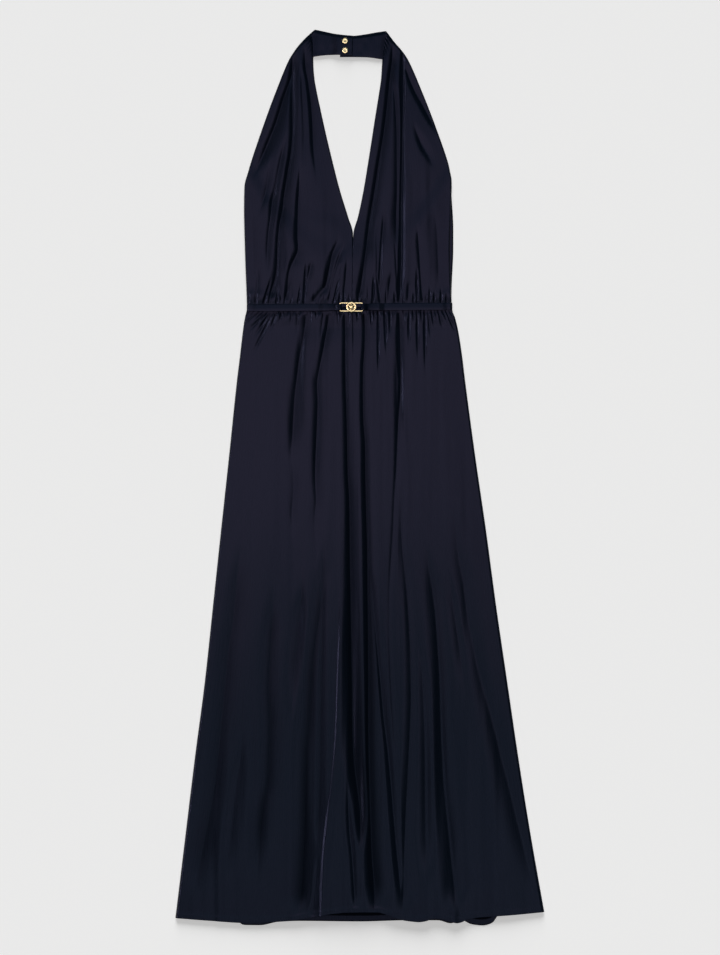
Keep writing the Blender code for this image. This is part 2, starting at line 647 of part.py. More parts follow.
def turned_piece(name, profile, centre, material):
    """A solid of revolution about +Z. The profile runs down its outer side, in millimetres."""
    mesh = bpy.data.meshes.new(name)
    points = [(radius * MM, 0.0, z * MM) for radius, z in profile]
    mesh.from_pydata(points, [(i, i + 1) for i in range(len(points) - 1)], [])
    obj = add_object(name, mesh, material)
    obj.location = centre
    screw = obj.modifiers.new("turn", "SCREW")
    screw.axis = "Z"
    screw.steps = TURNED_SIDES
    screw.render_steps = TURNED_SIDES
    screw.use_merge_vertices = True
    screw.merge_threshold = 0.05 * MM
    screw.use_smooth_shade = True
    return obj


def make_snaps(material):
    """Ring-shaped caps of the press studs, with a sunken middle."""
    band_top = 2 * BAND_THICKNESS + SEAM_GAP
    for name, height in STUD_HEIGHTS.items():
        centre = in_frame(np.array(STUD_X), np.array(height), np.array(band_top + SEAM_GAP))
        turned_piece(name, STUD_PROFILE, centre, material)


# Belt and buckle

def belt_levels():
    """Heights of the belt's centre line on its way round the dress."""
    behind = BELT_THICKNESS / 2
    dress_side = BELT_THICKNESS + SEAM_GAP + 2 * WALL + SEAM_GAP
    at_side = dress_side + SEAM_GAP + BELT_THICKNESS / 2
    in_front = at_side + BELT_RISE
    over_return = in_front + BELT_THICKNESS + SEAM_GAP
    bar = in_front + BUCKLE_WIRE / 2 + SEAM_GAP + BELT_THICKNESS / 2
    return behind, at_side, in_front, over_return, bar


def belt_half_path():
    """Centre line (x from the buckle, z) from one hooked end round to the front of the dress."""
    _, _, in_front, over_return, bar = belt_levels()
    hook = BUCKLE_WIRE / 2 + SEAM_GAP + BELT_THICKNESS / 2
    bar_x = BUCKLE_LENGTH / 2
    levels = {
        "hook": bar + hook,
        "return": over_return,
        "between": (over_return + in_front) / 2,
        "front": in_front,
    }
    path = [(bar_x + reach, in_front) for reach in HOOK_FRONT]
    for step in range(ARC_POINTS):
        angle = math.radians(-90.0 - ARC_STEP * step)
        path.append((bar_x + hook * math.cos(angle), bar + hook * math.sin(angle)))
    path += [(bar_x + point.reach, levels[point.level] + point.rise) for point in HOOK_RETURN]
    return path


def belt_side(side):
    """Half of the belt, from the buckle along the front and round one side; side is -1 or 1."""
    behind, at_side, in_front, _, _ = belt_levels()
    turn = (at_side - behind) / 2
    middle = (at_side + behind) / 2
    edge, count = (WAIST_LEFT, 6) if side < 0 else (WAIST_RIGHT, 5)
    path = [(BUCKLE_X + side * x, z) for x, z in belt_half_path()]
    level_from = path[-1][0] + side * FRONT_RUN_START
    level_to = edge - side * FRONT_RUN_END
    path += [(x, in_front) for x in np.linspace(level_from, level_to, count)]
    path += [(edge - side * SIDE_DROP_START, (in_front + at_side) / 2), (edge - side * SIDE_DROP_END, at_side)]
    for step in range(ARC_POINTS):
        angle = math.radians(90.0 - ARC_STEP * step)
        x = edge + side * (BELT_SIDE_CLEARANCE + turn * math.cos(angle))
        path.append((x, middle + turn * math.sin(angle)))
    return path


def belt_path():
    """The whole centre line, from the left hook, round behind the dress, to the right hook."""
    behind = belt_levels()[0]
    ends = np.linspace(WAIST_LEFT + BACK_RUN_INSET, WAIST_RIGHT - BACK_RUN_INSET, BACK_RUN_POINTS)
    back = [(x, behind) for x in ends]
    return belt_side(-1) + back + belt_side(1)[::-1]


def make_belt(material):
    """A flat tube swept along the belt's line, narrowing where it hooks on the buckle."""
    path = np.array(belt_path())
    tangents = np.gradient(path, axis=0)
    tangents /= np.linalg.norm(tangents, axis=1)[:, None]
    normals = np.stack([-tangents[:, 1], tangents[:, 0]], axis=1)
    reach = np.abs(path[:, 0] - BUCKLE_X) - BUCKLE_LENGTH / 2
    on_front = path[:, 1] > (belt_levels()[1] + belt_levels()[2]) / 2
    narrowed = on_front * (1.0 - smoothstep(*END_TAPER, reach))
    half_width = BELT_WIDTH / 2 - narrowed * (BELT_WIDTH - BELT_END_WIDTH) / 2
    thick = BELT_THICKNESS / 2
    bm = bmesh.new()
    rings = []
    for point, normal, half in zip(path, normals, half_width):
        ring = []
        for corner in BELT_SECTION:
            x, z = point + normal * corner.through * thick
            height = belt_height(x) + corner.across * half
            ring.append(bm.verts.new(in_frame(np.array(x), np.array(height), np.array(z))))
        rings.append(ring)
    for first, second in zip(rings, rings[1:]):
        for i in range(len(BELT_SECTION)):
            j = (i + 1) % len(BELT_SECTION)
            bm.faces.new((first[i], first[j], second[j], second[i]))
    bm.faces.new(rings[0])
    bm.faces.new(rings[-1])
    bmesh.ops.recalc_face_normals(bm, faces=bm.faces)
    mesh = bpy.data.meshes.new("belt")
    bm.to_mesh(mesh)
    bm.free()
    if signed_volume(mesh) < 0.0:
        mesh.flip_normals()
    mesh.shade_smooth()
    add_object("belt", mesh, material)


def make_buckle(material):
    """A rectangular wire frame that the belt's two ends hook on, with a plain round medallion."""
    bar = belt_levels()[-1]
    centre = in_frame(np.array(BUCKLE_X), np.array(belt_height(BUCKLE_X)), np.array(bar))
    curve = bpy.data.curves.new("buckle_frame", "CURVE")
    curve.dimensions = "3D"
    curve.bevel_depth = BUCKLE_WIRE / 2 * MM
    curve.bevel_resolution = 2
    spline = curve.splines.new("POLY")
    points = []
    for side_x, side_y, start in ((1, 1, 0.0), (-1, 1, 90.0), (-1, -1, 180.0), (1, -1, 270.0)):
        for step in range(ARC_POINTS // 2 + 1):
            angle = math.radians(start + ARC_STEP * step)
            x = side_x * (BUCKLE_LENGTH / 2 - BUCKLE_CORNER) + BUCKLE_CORNER * math.cos(angle)
            y = side_y * (BUCKLE_DEPTH / 2 - BUCKLE_CORNER) + BUCKLE_CORNER * math.sin(angle)
            points.append((x * MM, y * MM, 0.0, 1.0))
    spline.points.add(len(points) - 1)
    for target, point in zip(spline.points, points):
        target.co = point
    spline.use_cyclic_u = True
    frame = add_object("buckle_frame", curve, material)
    frame.location = centre
    base = (centre[0], centre[1], centre[2] + (BUCKLE_WIRE / 2 + SEAM_GAP) * MM)
    turned_piece("buckle_medallion", MEDALLION_PROFILE, base, material)


def build():
    for obj in list(bpy.data.objects):
        bpy.data.objects.remove(obj)
    bpy.context.scene.collection.children.link(bpy.data.collections.new("halter_dress"))
    satin = new_material("navy_satin", NAVY, 0.42, 0.0)
    gold = new_material("polished_gold", GOLD, 0.25, 1.0)
    make_skirt_back(satin)
    make_skirt_front(satin)
    make_bodice_back(satin)
    make_halter("bodice_front_left", LEFT_HALTER, LEFT_FOLDS, satin)
    make_halter("bodice_front_right", RIGHT_HALTER, RIGHT_FOLDS, satin)
    make_neckband("neckband_left", LEFT_BAND, True, satin)
    make_neckband("neckband_right", RIGHT_BAND, False, satin)
    make_snaps(gold)
    make_belt(satin)
    make_buckle(gold)


build()
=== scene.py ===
import math
from collections import namedtuple

import bpy
import numpy as np
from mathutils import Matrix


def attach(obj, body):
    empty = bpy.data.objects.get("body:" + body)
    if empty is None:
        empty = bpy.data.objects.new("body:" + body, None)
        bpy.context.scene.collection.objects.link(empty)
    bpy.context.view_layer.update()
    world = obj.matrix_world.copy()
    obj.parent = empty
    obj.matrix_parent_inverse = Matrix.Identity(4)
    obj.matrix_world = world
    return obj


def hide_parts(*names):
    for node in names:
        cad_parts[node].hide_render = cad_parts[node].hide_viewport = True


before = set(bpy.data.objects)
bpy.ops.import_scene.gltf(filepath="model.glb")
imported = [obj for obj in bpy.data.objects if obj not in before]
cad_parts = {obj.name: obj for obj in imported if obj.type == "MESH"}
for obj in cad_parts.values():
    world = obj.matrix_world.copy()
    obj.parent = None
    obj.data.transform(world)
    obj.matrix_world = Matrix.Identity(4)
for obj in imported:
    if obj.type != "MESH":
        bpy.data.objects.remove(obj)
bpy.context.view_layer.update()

# Places on the dress are in millimetres: x from its middle, height above the hem's lowest point
mm = 0.001
dressLength = 1478.0
waistHeight = 1018.0
waistLeft = -186.2
waistRight = 151.8
beltHeight = 1019.8
beltTilt = 0.008
beltEdge = 6.0    # from the belt's middle to its edge
beltThickness = 1.6
panelWall = 1.1
seamGap = 0.3

print("Camera, floor and lights")

studio = {
    "cameraHeight": 3.4,
    "pictureHeight": 955 * 1.65 * mm,    # what the picture takes in, at 1.65 mm to a pixel
    "floorSize": 8.0,
    "floorDrop": 0.0003,
    "floorColour": "#E9E9E9",
    "floorRoughness": 0.9,
    "floorGloss": 0.1,
    "floorGlowColour": "#EDEAE9",
    "floorGlow": 0.585,
    "worldColour": (0.50, 0.93, 1.0, 1.0),
    "worldStrength": 0.04,
    "shadowSun": 3.3,
    "shadowSunTilt": (-69.0, -4.0),    # degrees, from the top of the picture and a little from the right
    "shadowSunSpread": 34.0,
}
sidePanels = {"size": (6.0, 2.2), "foot": 0.8, "distance": 4.6, "colour": (0.60, 0.74, 1.0)}


def toLinear(hexColour):
    parts = [int(hexColour[i:i + 2], 16) / 255 for i in (1, 3, 5)]
    return tuple(p / 12.92 if p <= 0.04045 else ((p + 0.055) / 1.055) ** 2.4 for p in parts) + (1.0,)


def addNode(tree, kind, settings=None, links=None):
    node = tree.nodes.new(kind)
    for key, value in (settings or {}).items():
        if key in node.inputs:
            node.inputs[key].default_value = value
        else:
            setattr(node, key, value)
    for key, source in (links or {}).items():
        tree.links.new(source, node.inputs[key])
    return node


def newMaterial(name):
    material = bpy.data.materials.new(name)
    material.use_nodes = True
    tree = material.node_tree
    return material, tree, tree.nodes["Principled BSDF"]


def addCamera():
    camera = bpy.data.cameras.new("camera")
    camera.sensor_fit = "VERTICAL"
    camera.sensor_height = 36.0
    camera.lens = camera.sensor_height * studio["cameraHeight"] / studio["pictureHeight"]
    camera.clip_end = 50.0
    holder = bpy.data.objects.new("camera", camera)
    holder.location = (0.0, 0.0, studio["cameraHeight"])
    bpy.context.scene.collection.objects.link(holder)
    bpy.context.scene.camera = holder


def addSoftbox(name, centre, size, radiance, colour=(1.0, 1.0, 1.0)):
    # A softbox that shows only in glossy surfaces. It looks straight down until it is turned.
    lamp = bpy.data.lights.new(name, "AREA")
    lamp.shape = "RECTANGLE"
    lamp.size, lamp.size_y = size
    lamp.energy = radiance * math.pi * size[0] * size[1]
    lamp.color = colour
    holder = bpy.data.objects.new(name, lamp)
    holder.location = centre
    holder.visible_diffuse = False
    bpy.context.scene.collection.objects.link(holder)
    return holder


def addSidePanel(name, angle, radiance):
    size, distance = sidePanels["size"], sidePanels["distance"]
    centre = (distance * math.cos(angle), distance * math.sin(angle), size[1] / 2 + sidePanels["foot"])
    holder = addSoftbox(name, centre, size, radiance, sidePanels["colour"])
    holder.rotation_euler = (math.pi / 2, 0.0, angle + math.pi / 2)
    holder.visible_camera = False


def addStudio():
    world = bpy.data.worlds.new("studio")
    world.use_nodes = True
    background = world.node_tree.nodes["Background"]
    background.inputs["Color"].default_value = studio["worldColour"]
    background.inputs["Strength"].default_value = studio["worldStrength"]
    bpy.context.scene.world = world
    bpy.context.scene.view_settings.view_transform = "Standard"
    # The satin mirrors these: the first one's lower edge is where the skirt turns dark
    addSoftbox("overhead_softbox", (-0.25, 0.50, 3.0), (2.4, 1.45), 1.93, (0.99, 0.965, 1.0))
    addSoftbox("waist_softbox", (-0.05, -0.14, 2.97), (1.9, 0.32), 0.14)
    addSoftbox("waist_left_softbox", (-0.50, -0.19, 2.95), (0.70, 0.36), 0.36)
    addSoftbox("left_softbox", (-0.95, -0.42, 3.0), (0.60, 0.40), 1.6)
    addSoftbox("right_softbox", (0.80, -0.52, 3.0), (0.45, 0.60), 1.6)
    addSoftbox("foot_softbox", (0.10, -0.85, 3.0), (0.50, 1.2), 0.50, (0.56, 1.0, 0.96))
    addSoftbox("foot_left_softbox", (-0.50, -0.95, 3.0), (0.70, 1.3), 0.95, (0.66, 1.0, 0.95))
    addSoftbox("foot_right_softbox", (0.70, -1.0, 3.0), (0.70, 1.3), 1.25, (0.66, 1.0, 0.95))
    addSoftbox("hem_left_softbox", (-0.46, -1.32, 2.97), (0.80, 0.66), 0.42, (0.70, 1.0, 0.95))
    addSoftbox("hem_right_softbox", (0.72, -1.34, 2.97), (0.90, 0.50), 0.36, (0.70, 1.0, 0.95))
    addSoftbox("hem_softbox", (0.1, -1.43, 2.95), (1.7, 0.30), 0.95, (1.0, 0.85, 0.95))
    addSoftbox("head_softbox", (-0.1, 1.52, 3.0), (1.8, 0.5), 1.0, (0.35, 0.75, 1.0))
    addSoftbox("edge_light", (-2.3, 0.0, 2.4), (0.30, 3.4), 20.0, (0.85, 0.95, 1.0))
    # Dim upright panels, all round, that the satin mirrors only when it's seen from low down
    for name, angle, radiance in (("head_panel", 90, 0.55), ("left_panel", 180, 0.4),
                                  ("foot_panel", 270, 0.45), ("right_panel", 0, 0.4)):
        addSidePanel(name, math.radians(angle), radiance)
    # A low sun throws the soft shadow below each edge, and doesn't show in the satin
    sun = bpy.data.lights.new("shadow_sun", "SUN")
    sun.energy = studio["shadowSun"]
    sun.angle = math.radians(studio["shadowSunSpread"])
    holder = bpy.data.objects.new("shadow_sun", sun)
    holder.rotation_euler = [math.radians(t) for t in studio["shadowSunTilt"]] + [0.0]
    holder.visible_glossy = False
    bpy.context.scene.collection.objects.link(holder)
    bpy.ops.mesh.primitive_plane_add(size=studio["floorSize"], location=(0.0, 0.0, -studio["floorDrop"]))
    floor = bpy.context.object
    floor.name = "floor"
    material, tree, shader = newMaterial("matt_card_floor")    # pale, even and almost without gloss
    shader.inputs["Base Color"].default_value = toLinear(studio["floorColour"])
    shader.inputs["Roughness"].default_value = studio["floorRoughness"]
    shader.inputs["Specular IOR Level"].default_value = studio["floorGloss"]
    shader.inputs["Emission Color"].default_value = toLinear(studio["floorGlowColour"])
    shader.inputs["Emission Strength"].default_value = studio["floorGlow"]
    floor.data.materials.append(material)


bpy.ops.object.select_all(action="DESELECT")
addCamera()
addStudio()

print("Materials")

clothLook = {
    "deepNavy": "#060D15",
    "liftedNavy": "#080F18",
    "highlightTint": (0.66, 0.58, 1.0, 1.0),
    "roughness": (0.26, 0.30),
    "streakWidth": 2.2,        # mm, drawn coarser than the yarns so that it shows
    "streakLength": 38.0,
    "mottleWidth": 26.0,
    "mottleLength": 120.0,
    "noise": {"Scale": 1.0, "Detail": 3.0, "Roughness": 0.55},
    "noiseRange": (0.3, 0.7),
    "bump": 0.05,
    "bumpHeight": 0.0004,
    "refraction": 1.5,
    "gloss": 0.17,
    # Painted shade in the folds: the share of gloss left, and the colour multiplied in, where it is full
    "paintedShadeGloss": 0.10,         # share of the gloss left at the bottom of a deep fold
    "paintedShadeColour": (0.6, 0.6, 0.6, 1.0),
}
goldLook = {"colour": "#FFDCA8", "roughness": (0.20, 0.30), "grain": 900.0, "bump": 0.05,
            "bumpHeight": 0.0002}


def wovenSatin(name, look):
    # Polyester satin: long floats all one way, so a broad soft gloss with faint streaks along the cloth
    material, tree, shader = newMaterial(name)
    uv = addNode(tree, "ShaderNodeUVMap", {"uv_map": "cut"})
    streakScale = (1000 / look["streakWidth"], 1000 / look["streakLength"], 1.0)
    mottleScale = (1000 / look["mottleWidth"], 1000 / look["mottleLength"], 1.0)
    streakPlace = addNode(tree, "ShaderNodeMapping", {"Scale": streakScale}, {"Vector": uv.outputs["UV"]})
    mottlePlace = addNode(tree, "ShaderNodeMapping", {"Scale": mottleScale}, {"Vector": uv.outputs["UV"]})
    streaks = addNode(tree, "ShaderNodeTexNoise", look["noise"], {"Vector": streakPlace.outputs["Vector"]})
    mottle = addNode(tree, "ShaderNodeTexNoise", look["noise"], {"Vector": mottlePlace.outputs["Vector"]})
    colour = addNode(tree, "ShaderNodeMix", {"data_type": "RGBA"}, {"Factor": mottle.outputs["Fac"]})
    colour.inputs[6].default_value = toLinear(look["deepNavy"])
    colour.inputs[7].default_value = toLinear(look["liftedNavy"])
    # Painted shade: at the bottom of a fold the cloth sees only other cloth, so there the base colour is
    # darkened and the gloss lowered
    paintedShade = addNode(tree, "ShaderNodeAttribute", {"attribute_name": "paintedShade"})
    glossLeft = addNode(tree, "ShaderNodeMapRange", {"To Min": 1.0, "To Max": look["paintedShadeGloss"]},
                        {"Value": paintedShade.outputs["Fac"]})
    shaded = addNode(tree, "ShaderNodeMix", {"data_type": "RGBA", "blend_type": "MULTIPLY"},
                     {"Factor": paintedShade.outputs["Fac"]})
    shaded.inputs[7].default_value = look["paintedShadeColour"]
    tree.links.new(colour.outputs[2], shaded.inputs[6])
    tree.links.new(shaded.outputs[2], shader.inputs["Base Color"])
    gloss = addNode(tree, "ShaderNodeMath", {"operation": "MULTIPLY"})
    gloss.inputs[1].default_value = look["gloss"]
    tree.links.new(glossLeft.outputs["Result"], gloss.inputs[0])
    tree.links.new(gloss.outputs["Value"], shader.inputs["Specular IOR Level"])
    darkest, lightest = look["noiseRange"]
    low, high = look["roughness"]
    spread = {"From Min": darkest, "From Max": lightest, "To Min": low, "To Max": high}
    rough = addNode(tree, "ShaderNodeMapRange", spread, {"Value": streaks.outputs["Fac"]})
    tree.links.new(rough.outputs["Result"], shader.inputs["Roughness"])
    bump = addNode(tree, "ShaderNodeBump", {"Strength": look["bump"], "Distance": look["bumpHeight"]},
                   {"Height": streaks.outputs["Fac"]})
    tree.links.new(bump.outputs["Normal"], shader.inputs["Normal"])
    shader.inputs["Specular Tint"].default_value = look["highlightTint"]
    shader.inputs["IOR"].default_value = look["refraction"]
    return material


def platedGold(name, look):
    # Pale gold plate on cast metal, polished bright: smooth, with faint unevenness from the casting
    material, tree, shader = newMaterial(name)
    coords = addNode(tree, "ShaderNodeTexCoord")
    grain = addNode(tree, "ShaderNodeTexNoise", {"Scale": look["grain"], "Detail": 2.0},
                    {"Vector": coords.outputs["Object"]})
    low, high = look["roughness"]
    rough = addNode(tree, "ShaderNodeMapRange", {"To Min": low, "To Max": high},
                    {"Value": grain.outputs["Fac"]})
    tree.links.new(rough.outputs["Result"], shader.inputs["Roughness"])
    bump = addNode(tree, "ShaderNodeBump", {"Strength": look["bump"], "Distance": look["bumpHeight"]},
                   {"Height": grain.outputs["Fac"]})
    tree.links.new(bump.outputs["Normal"], shader.inputs["Normal"])
    shader.inputs["Base Color"].default_value = toLinear(look["colour"])
    shader.inputs["Metallic"].default_value = 1.0
    return material


satin = wovenSatin("navy_polyester_satin", clothLook)
# The satin's wrong side is matt: it shows inside the hem
wrongSideLook = {**clothLook, "roughness": (0.62, 0.70), "gloss": 0.05}
wrongSide = wovenSatin("matt_wrong_side_of_satin", wrongSideLook)
gold = platedGold("pale_gold_plate", goldLook)

print("Outlines and folds")


def table(columns, rows):
    rowType = namedtuple("Row", columns)
    return [rowType(*row) for row in rows]


def smoothStep(low, high, value):
    share = np.clip((value - low) / (high - low), 0.0, 1.0)
    return share * share * (3.0 - 2.0 * share)


def smoothCurve(places, values, at):
    # A smooth curve through a table's points, with no overshoot between them
    places = np.asarray(places, float)
    values = np.asarray(values, float)
    slopes = np.diff(values) / np.diff(places)
    tangents = np.zeros_like(values)
    for i in range(1, len(values) - 1):
        if slopes[i - 1] * slopes[i] > 0.0:
            tangents[i] = 2.0 * slopes[i - 1] * slopes[i] / (slopes[i - 1] + slopes[i])
    tangents[0], tangents[-1] = slopes[0], slopes[-1]
    at = np.clip(at, places[0], places[-1])
    i = np.clip(np.searchsorted(places, at, side="right") - 1, 0, len(places) - 2)
    span = places[i + 1] - places[i]
    t = (at - places[i]) / span
    return (values[i] * (1 + 2 * t) * (1 - t) ** 2 + values[i + 1] * t * t * (3 - 2 * t)
            + tangents[i] * span * t * (1 - t) ** 2 - tangents[i + 1] * span * t * t * (1 - t))


def column(rows, name):
    return np.array([getattr(row, name) for row in rows])


def rowsBetween(rows, name, share):
    return smoothCurve(np.linspace(0.0, 1.0, len(rows)), column(rows, name), share)


noiseCells = 256


def softNoise(x, y, width, length, seed):
    # Smooth hills and hollows of about this width and length, from -1 to 1
    lattice = np.random.default_rng(seed).uniform(-1.0, 1.0, (noiseCells + 1, noiseCells + 1))
    gx, gy = x / width + 91.0, y / length + 57.0
    ix, iy = np.floor(gx).astype(int), np.floor(gy).astype(int)
    fx, fy = gx - ix, gy - iy
    fx, fy = fx * fx * (3 - 2 * fx), fy * fy * (3 - 2 * fy)
    ix, iy = ix % noiseCells, iy % noiseCells
    top = lattice[iy, ix] * (1 - fx) + lattice[iy, ix + 1] * fx
    foot = lattice[iy + 1, ix] * (1 - fx) + lattice[iy + 1, ix + 1] * fx
    return top * (1 - fy) + foot * fy


skirtSides = table("height left right", [
    (1018, -186.2, 151.8), (1012, -187.2, 152.8), (1004, -189.4, 156.2), (982, -193, 161.8),
    (940, -198, 168.4), (899, -203, 173.4), (775, -216, 190), (651, -229.4, 208),
    (528, -242.5, 224.5), (404, -255.8, 242.6), (280, -272, 260.8), (156, -287.1, 280.5),
    (0, -306, 308),
])
frontHem = table("x height", [
    (-304.4, 13), (-250, 9), (-190, 5.4), (-120, 8.5), (-66, 18), (-38, 22.6), (-10, 24.4),
    (28, 24.2), (50, 17.5), (68, 11), (84, 8.4), (95, 7.5), (108, 9.5), (120, 13.5), (138, 12),
    (148, 8), (158, 5.5), (166, 7), (174, 11), (196, 14.5), (218, 16), (260, 19), (304.4, 23),
])
backHem = table("x height", [
    (-304.4, 17), (-240, 14), (-203, 9), (-196, 2), (-188, 0.6), (-165, 0.4), (-135, 6),
    (-100, 7.5), (0, 6.6), (75, 8.5), (128, 8.5), (148, 3.5), (166, 9), (182, 2), (200, 0),
    (216, 4), (232, 20), (304.4, 27),
])
leftHalter = table("innerX innerHeight outerX outerHeight", [
    (-77, 1432, -74.9, 1477.8), (-76.7, 1417, -94, 1460), (-75, 1397, -113.9, 1434),
    (-61, 1328, -141.9, 1368), (-33, 1213, -183, 1249), (-19.8, 1170, -190.8, 1217),
    (-11.5, 1139, -191.4, 1180), (-12.4, 1094, -189.9, 1114), (-13.2, 1018, -186.2, 1018),
])
rightHalter = table("innerX innerHeight outerX outerHeight", [
    (36.6, 1428, 43.3, 1475.4), (35.8, 1414, 56, 1458.6), (34.7, 1397.6, 75.9, 1434),
    (24, 1328, 105.6, 1368), (5, 1209.5, 147, 1252), (-3.3, 1170, 151.4, 1224),
    (-11.1, 1139, 150.4, 1180), (-11.9, 1094, 148.4, 1114), (-12.7, 1018, 151.2, 1018),
])
leftBand = table("topX topHeight footX footHeight", [
    (-74.3, 1477.8, -76.6, 1432.2), (-54.5, 1473.5, -62.7, 1434.4), (-36.3, 1469.7, -46, 1435.4),
    (-23, 1468.2, -30, 1435.2), (-11.6, 1467.3, -12.4, 1433.8),
])
rightBand = table("topX topHeight footX footHeight", [
    (-33, 1466.4, -33, 1431.8), (-11.6, 1467.4, -13, 1431.9), (8.3, 1469.8, 8.3, 1431.6),
    (26.4, 1473, 22, 1430.4), (42.7, 1475.4, 36.1, 1427.9),
])

# A fold's path is the middle of its steep wall, from the top down: x and height in turn. Wall is that
# wall's width at the top, grow how many times wider it is at the foot and rise the gentle side's width.
# Top and foot are the lengths over which the fold fades. Shade is how dark the painted shade makes its
# bottom, from 0 to 1.
foldColumns = "path depth wall grow rise top foot shade"
skirtFolds = table(foldColumns, [
    ((-90.5, 1012, -95.5, 971, -102.5, 936, -107.3, 900, -110, 877, -112.3, 841, -114, 806, -116, 780, -115,
      745), 2.5, 7.5, 1.5, 17, 8, 90, 0.15),
    ((-113, 775, -110.8, 718, -113.9, 685, -112.2, 635), 1, 5, 1, 14, 40, 50, 0.1),
    ((-92, 965, -92, 900, -94, 825), 0.5, 3, 1, 8, 40, 60, 0.1),
    ((-51.9, 1012, -56.6, 983, -62.5, 952, -69.5, 917, -73.1, 893, -72, 865, -73.1, 830, -75.4, 783, -76.6,
      738, -74.5, 701, -77.4, 668, -75.9, 635, -74.3, 602, -71, 569, -69, 520), 2.6, 7, 1.6, 16, 8, 330,
      0.1),
    ((-72, 610, -71.3, 536, -75, 503, -80, 470, -86, 421, -89, 375, -91.5, 333, -96, 278, -98, 223, -99, 168,
      -101, 131, -103, 95, -108, 14), 2.2, 16, 1.5, 20, 100, 42, 0.75),
    ((-61.3, 1012, -64.8, 983, -67.5, 955), 1, 4, 1, 8, 6, 34, 0.1),
    ((-54, 612, -57, 585, -66, 515), 1.1, 6, 1.2, 10, 40, 40, 0.1),
    ((-70, 140, -73, 100, -77, 58, -81, 14), 1.2, 6, 1.3, 9, 70, 8, 0.3),
    ((-26.4, 1012, -26, 971, -26.2, 930, -25.5, 890, -24.3, 850, -23.6, 800, -22.8, 745, -20.5, 701, -20,
      652, -19.8, 602, -18.8, 553, -18.4, 503, -17.6, 454, -17, 404, -16.5, 350, -15.5, 296, -13.2, 260,
      -9.2, 223, -4.2, 183, -1.5, 110), 2, 4.5, 3.5, 9.6, 8, 90, 0.5),
    ((-23, 265, -20, 168, -14.7, 113, -9.5, 25), 2.4, 6, 1.1, 14, 80, 30, 0.12),
    ((-11.8, 1012, -11.8, 980, -11.5, 905), 0.8, 3, 1, 6, 6, 80, 0.1),
    ((6, 1012, 6.6, 983, 5.9, 952, 3.5, 920, 2.9, 877, 3.6, 830, 6.4, 795, 6.6, 751, 7.2, 701, 8.6, 652, 9.6,
      602, 9.8, 553, 10.4, 503, 10.6, 454, 10.6, 404, 10.4, 333, 10.8, 278, 12, 223, 13.4, 168, 15.2, 113,
      18, 76, 22, 15), 1.8, 4.2, 3.2, 9.6, 8, 60, 0.55),
    ((12.9, 612, 17.4, 553, 21.8, 503, 26.4, 454, 31.2, 404, 36.6, 344, 42, 300, 48, 241, 52.6, 183, 56.8,
      131, 61.3, 87, 66.5, 30), 2.4, 6.5, 1.2, 13, 60, 70, 0.1),
    ((63.6, 1013, 64.1, 971, 64.8, 935, 65.3, 900, 64.6, 872, 62, 835, 60.5, 790, 57, 745, 54.6, 680), 3.2,
      5.5, 1, 9, 6, 250, 0.3),
    ((62, 835, 60.5, 790, 57, 745, 54.6, 701, 52.8, 652, 49.5, 602, 46.6, 553, 46, 490, 48, 430, 51, 371, 57,
      272, 61, 200), 0.95, 4.5, 1.4, 9, 60, 120, 0.05),
    ((58, 960, 57.2, 877, 58.5, 830, 57.7, 783, 56.6, 740, 54, 680), 1.3, 10, 1, 10, 70, 80, 0.1),
    ((66, 780, 66, 650, 71.6, 586, 75.9, 536, 79.2, 487, 80.9, 437, 81.5, 388, 79, 315, 75.4, 241, 71.6, 168,
      69.5, 110, 67.8, 20), 1.5, 7, 1.6, 13, 260, 40, 0.05),
    ((106, 640, 110, 592, 115.5, 553, 120.5, 503, 123.8, 454, 126.5, 404, 128, 345, 132, 260, 135.7, 205,
      141.2, 150, 146.7, 95, 153, 22), 2.8, 13, 1.5, 15, 110, 50, 0.05),
    ((153, 700, 156.8, 619, 165, 569, 171.6, 520, 180, 470, 190, 421, 200, 385, 211, 344, 225.5, 285, 240,
      230, 253, 175, 266, 124, 284, 55), 1.5, 12, 1.4, 20, 130, 110, 0.05),
    ((145, 590, 151.8, 520, 161.7, 454, 171, 370), 1.3, 9, 1.2, 12, 70, 100, 0),
    ((-198, 640, -209.6, 553, -214.5, 503, -222.8, 454, -228, 404, -231, 375, -235, 333, -240, 278, -247.5,
      223, -258.5, 168, -269.5, 113, -281, 45), 2.2, 13, 1.5, 26, 120, 90, 0.25),
    ((-145, 560, -153.5, 454, -156.5, 388, -154.5, 333, -155.8, 278, -158, 234, -166.8, 197, -171, 153, -174,
      60), 2, 13, 1.3, 18, 80, 110, 0.88),
    ((-96, 575, -105.6, 487, -112, 420, -117, 310), 2, 10, 1.2, 16, 70, 140, 0.35),
    ((-63, 650, -65, 560, -67, 450, -69, 340, -71, 220, -76, 110), 1.6, 11, 1.1, 16, 80, 70, 1),
    ((-194, 330, -208, 240, -219, 160, -227, 70), 1.7, 12, 1.2, 16, 90, 80, 0),
    ((92, 500, 100, 400, 103, 300, 104, 170, 106, 60), 1.9, 12, 1.4, 14, 120, 80, 0),
])
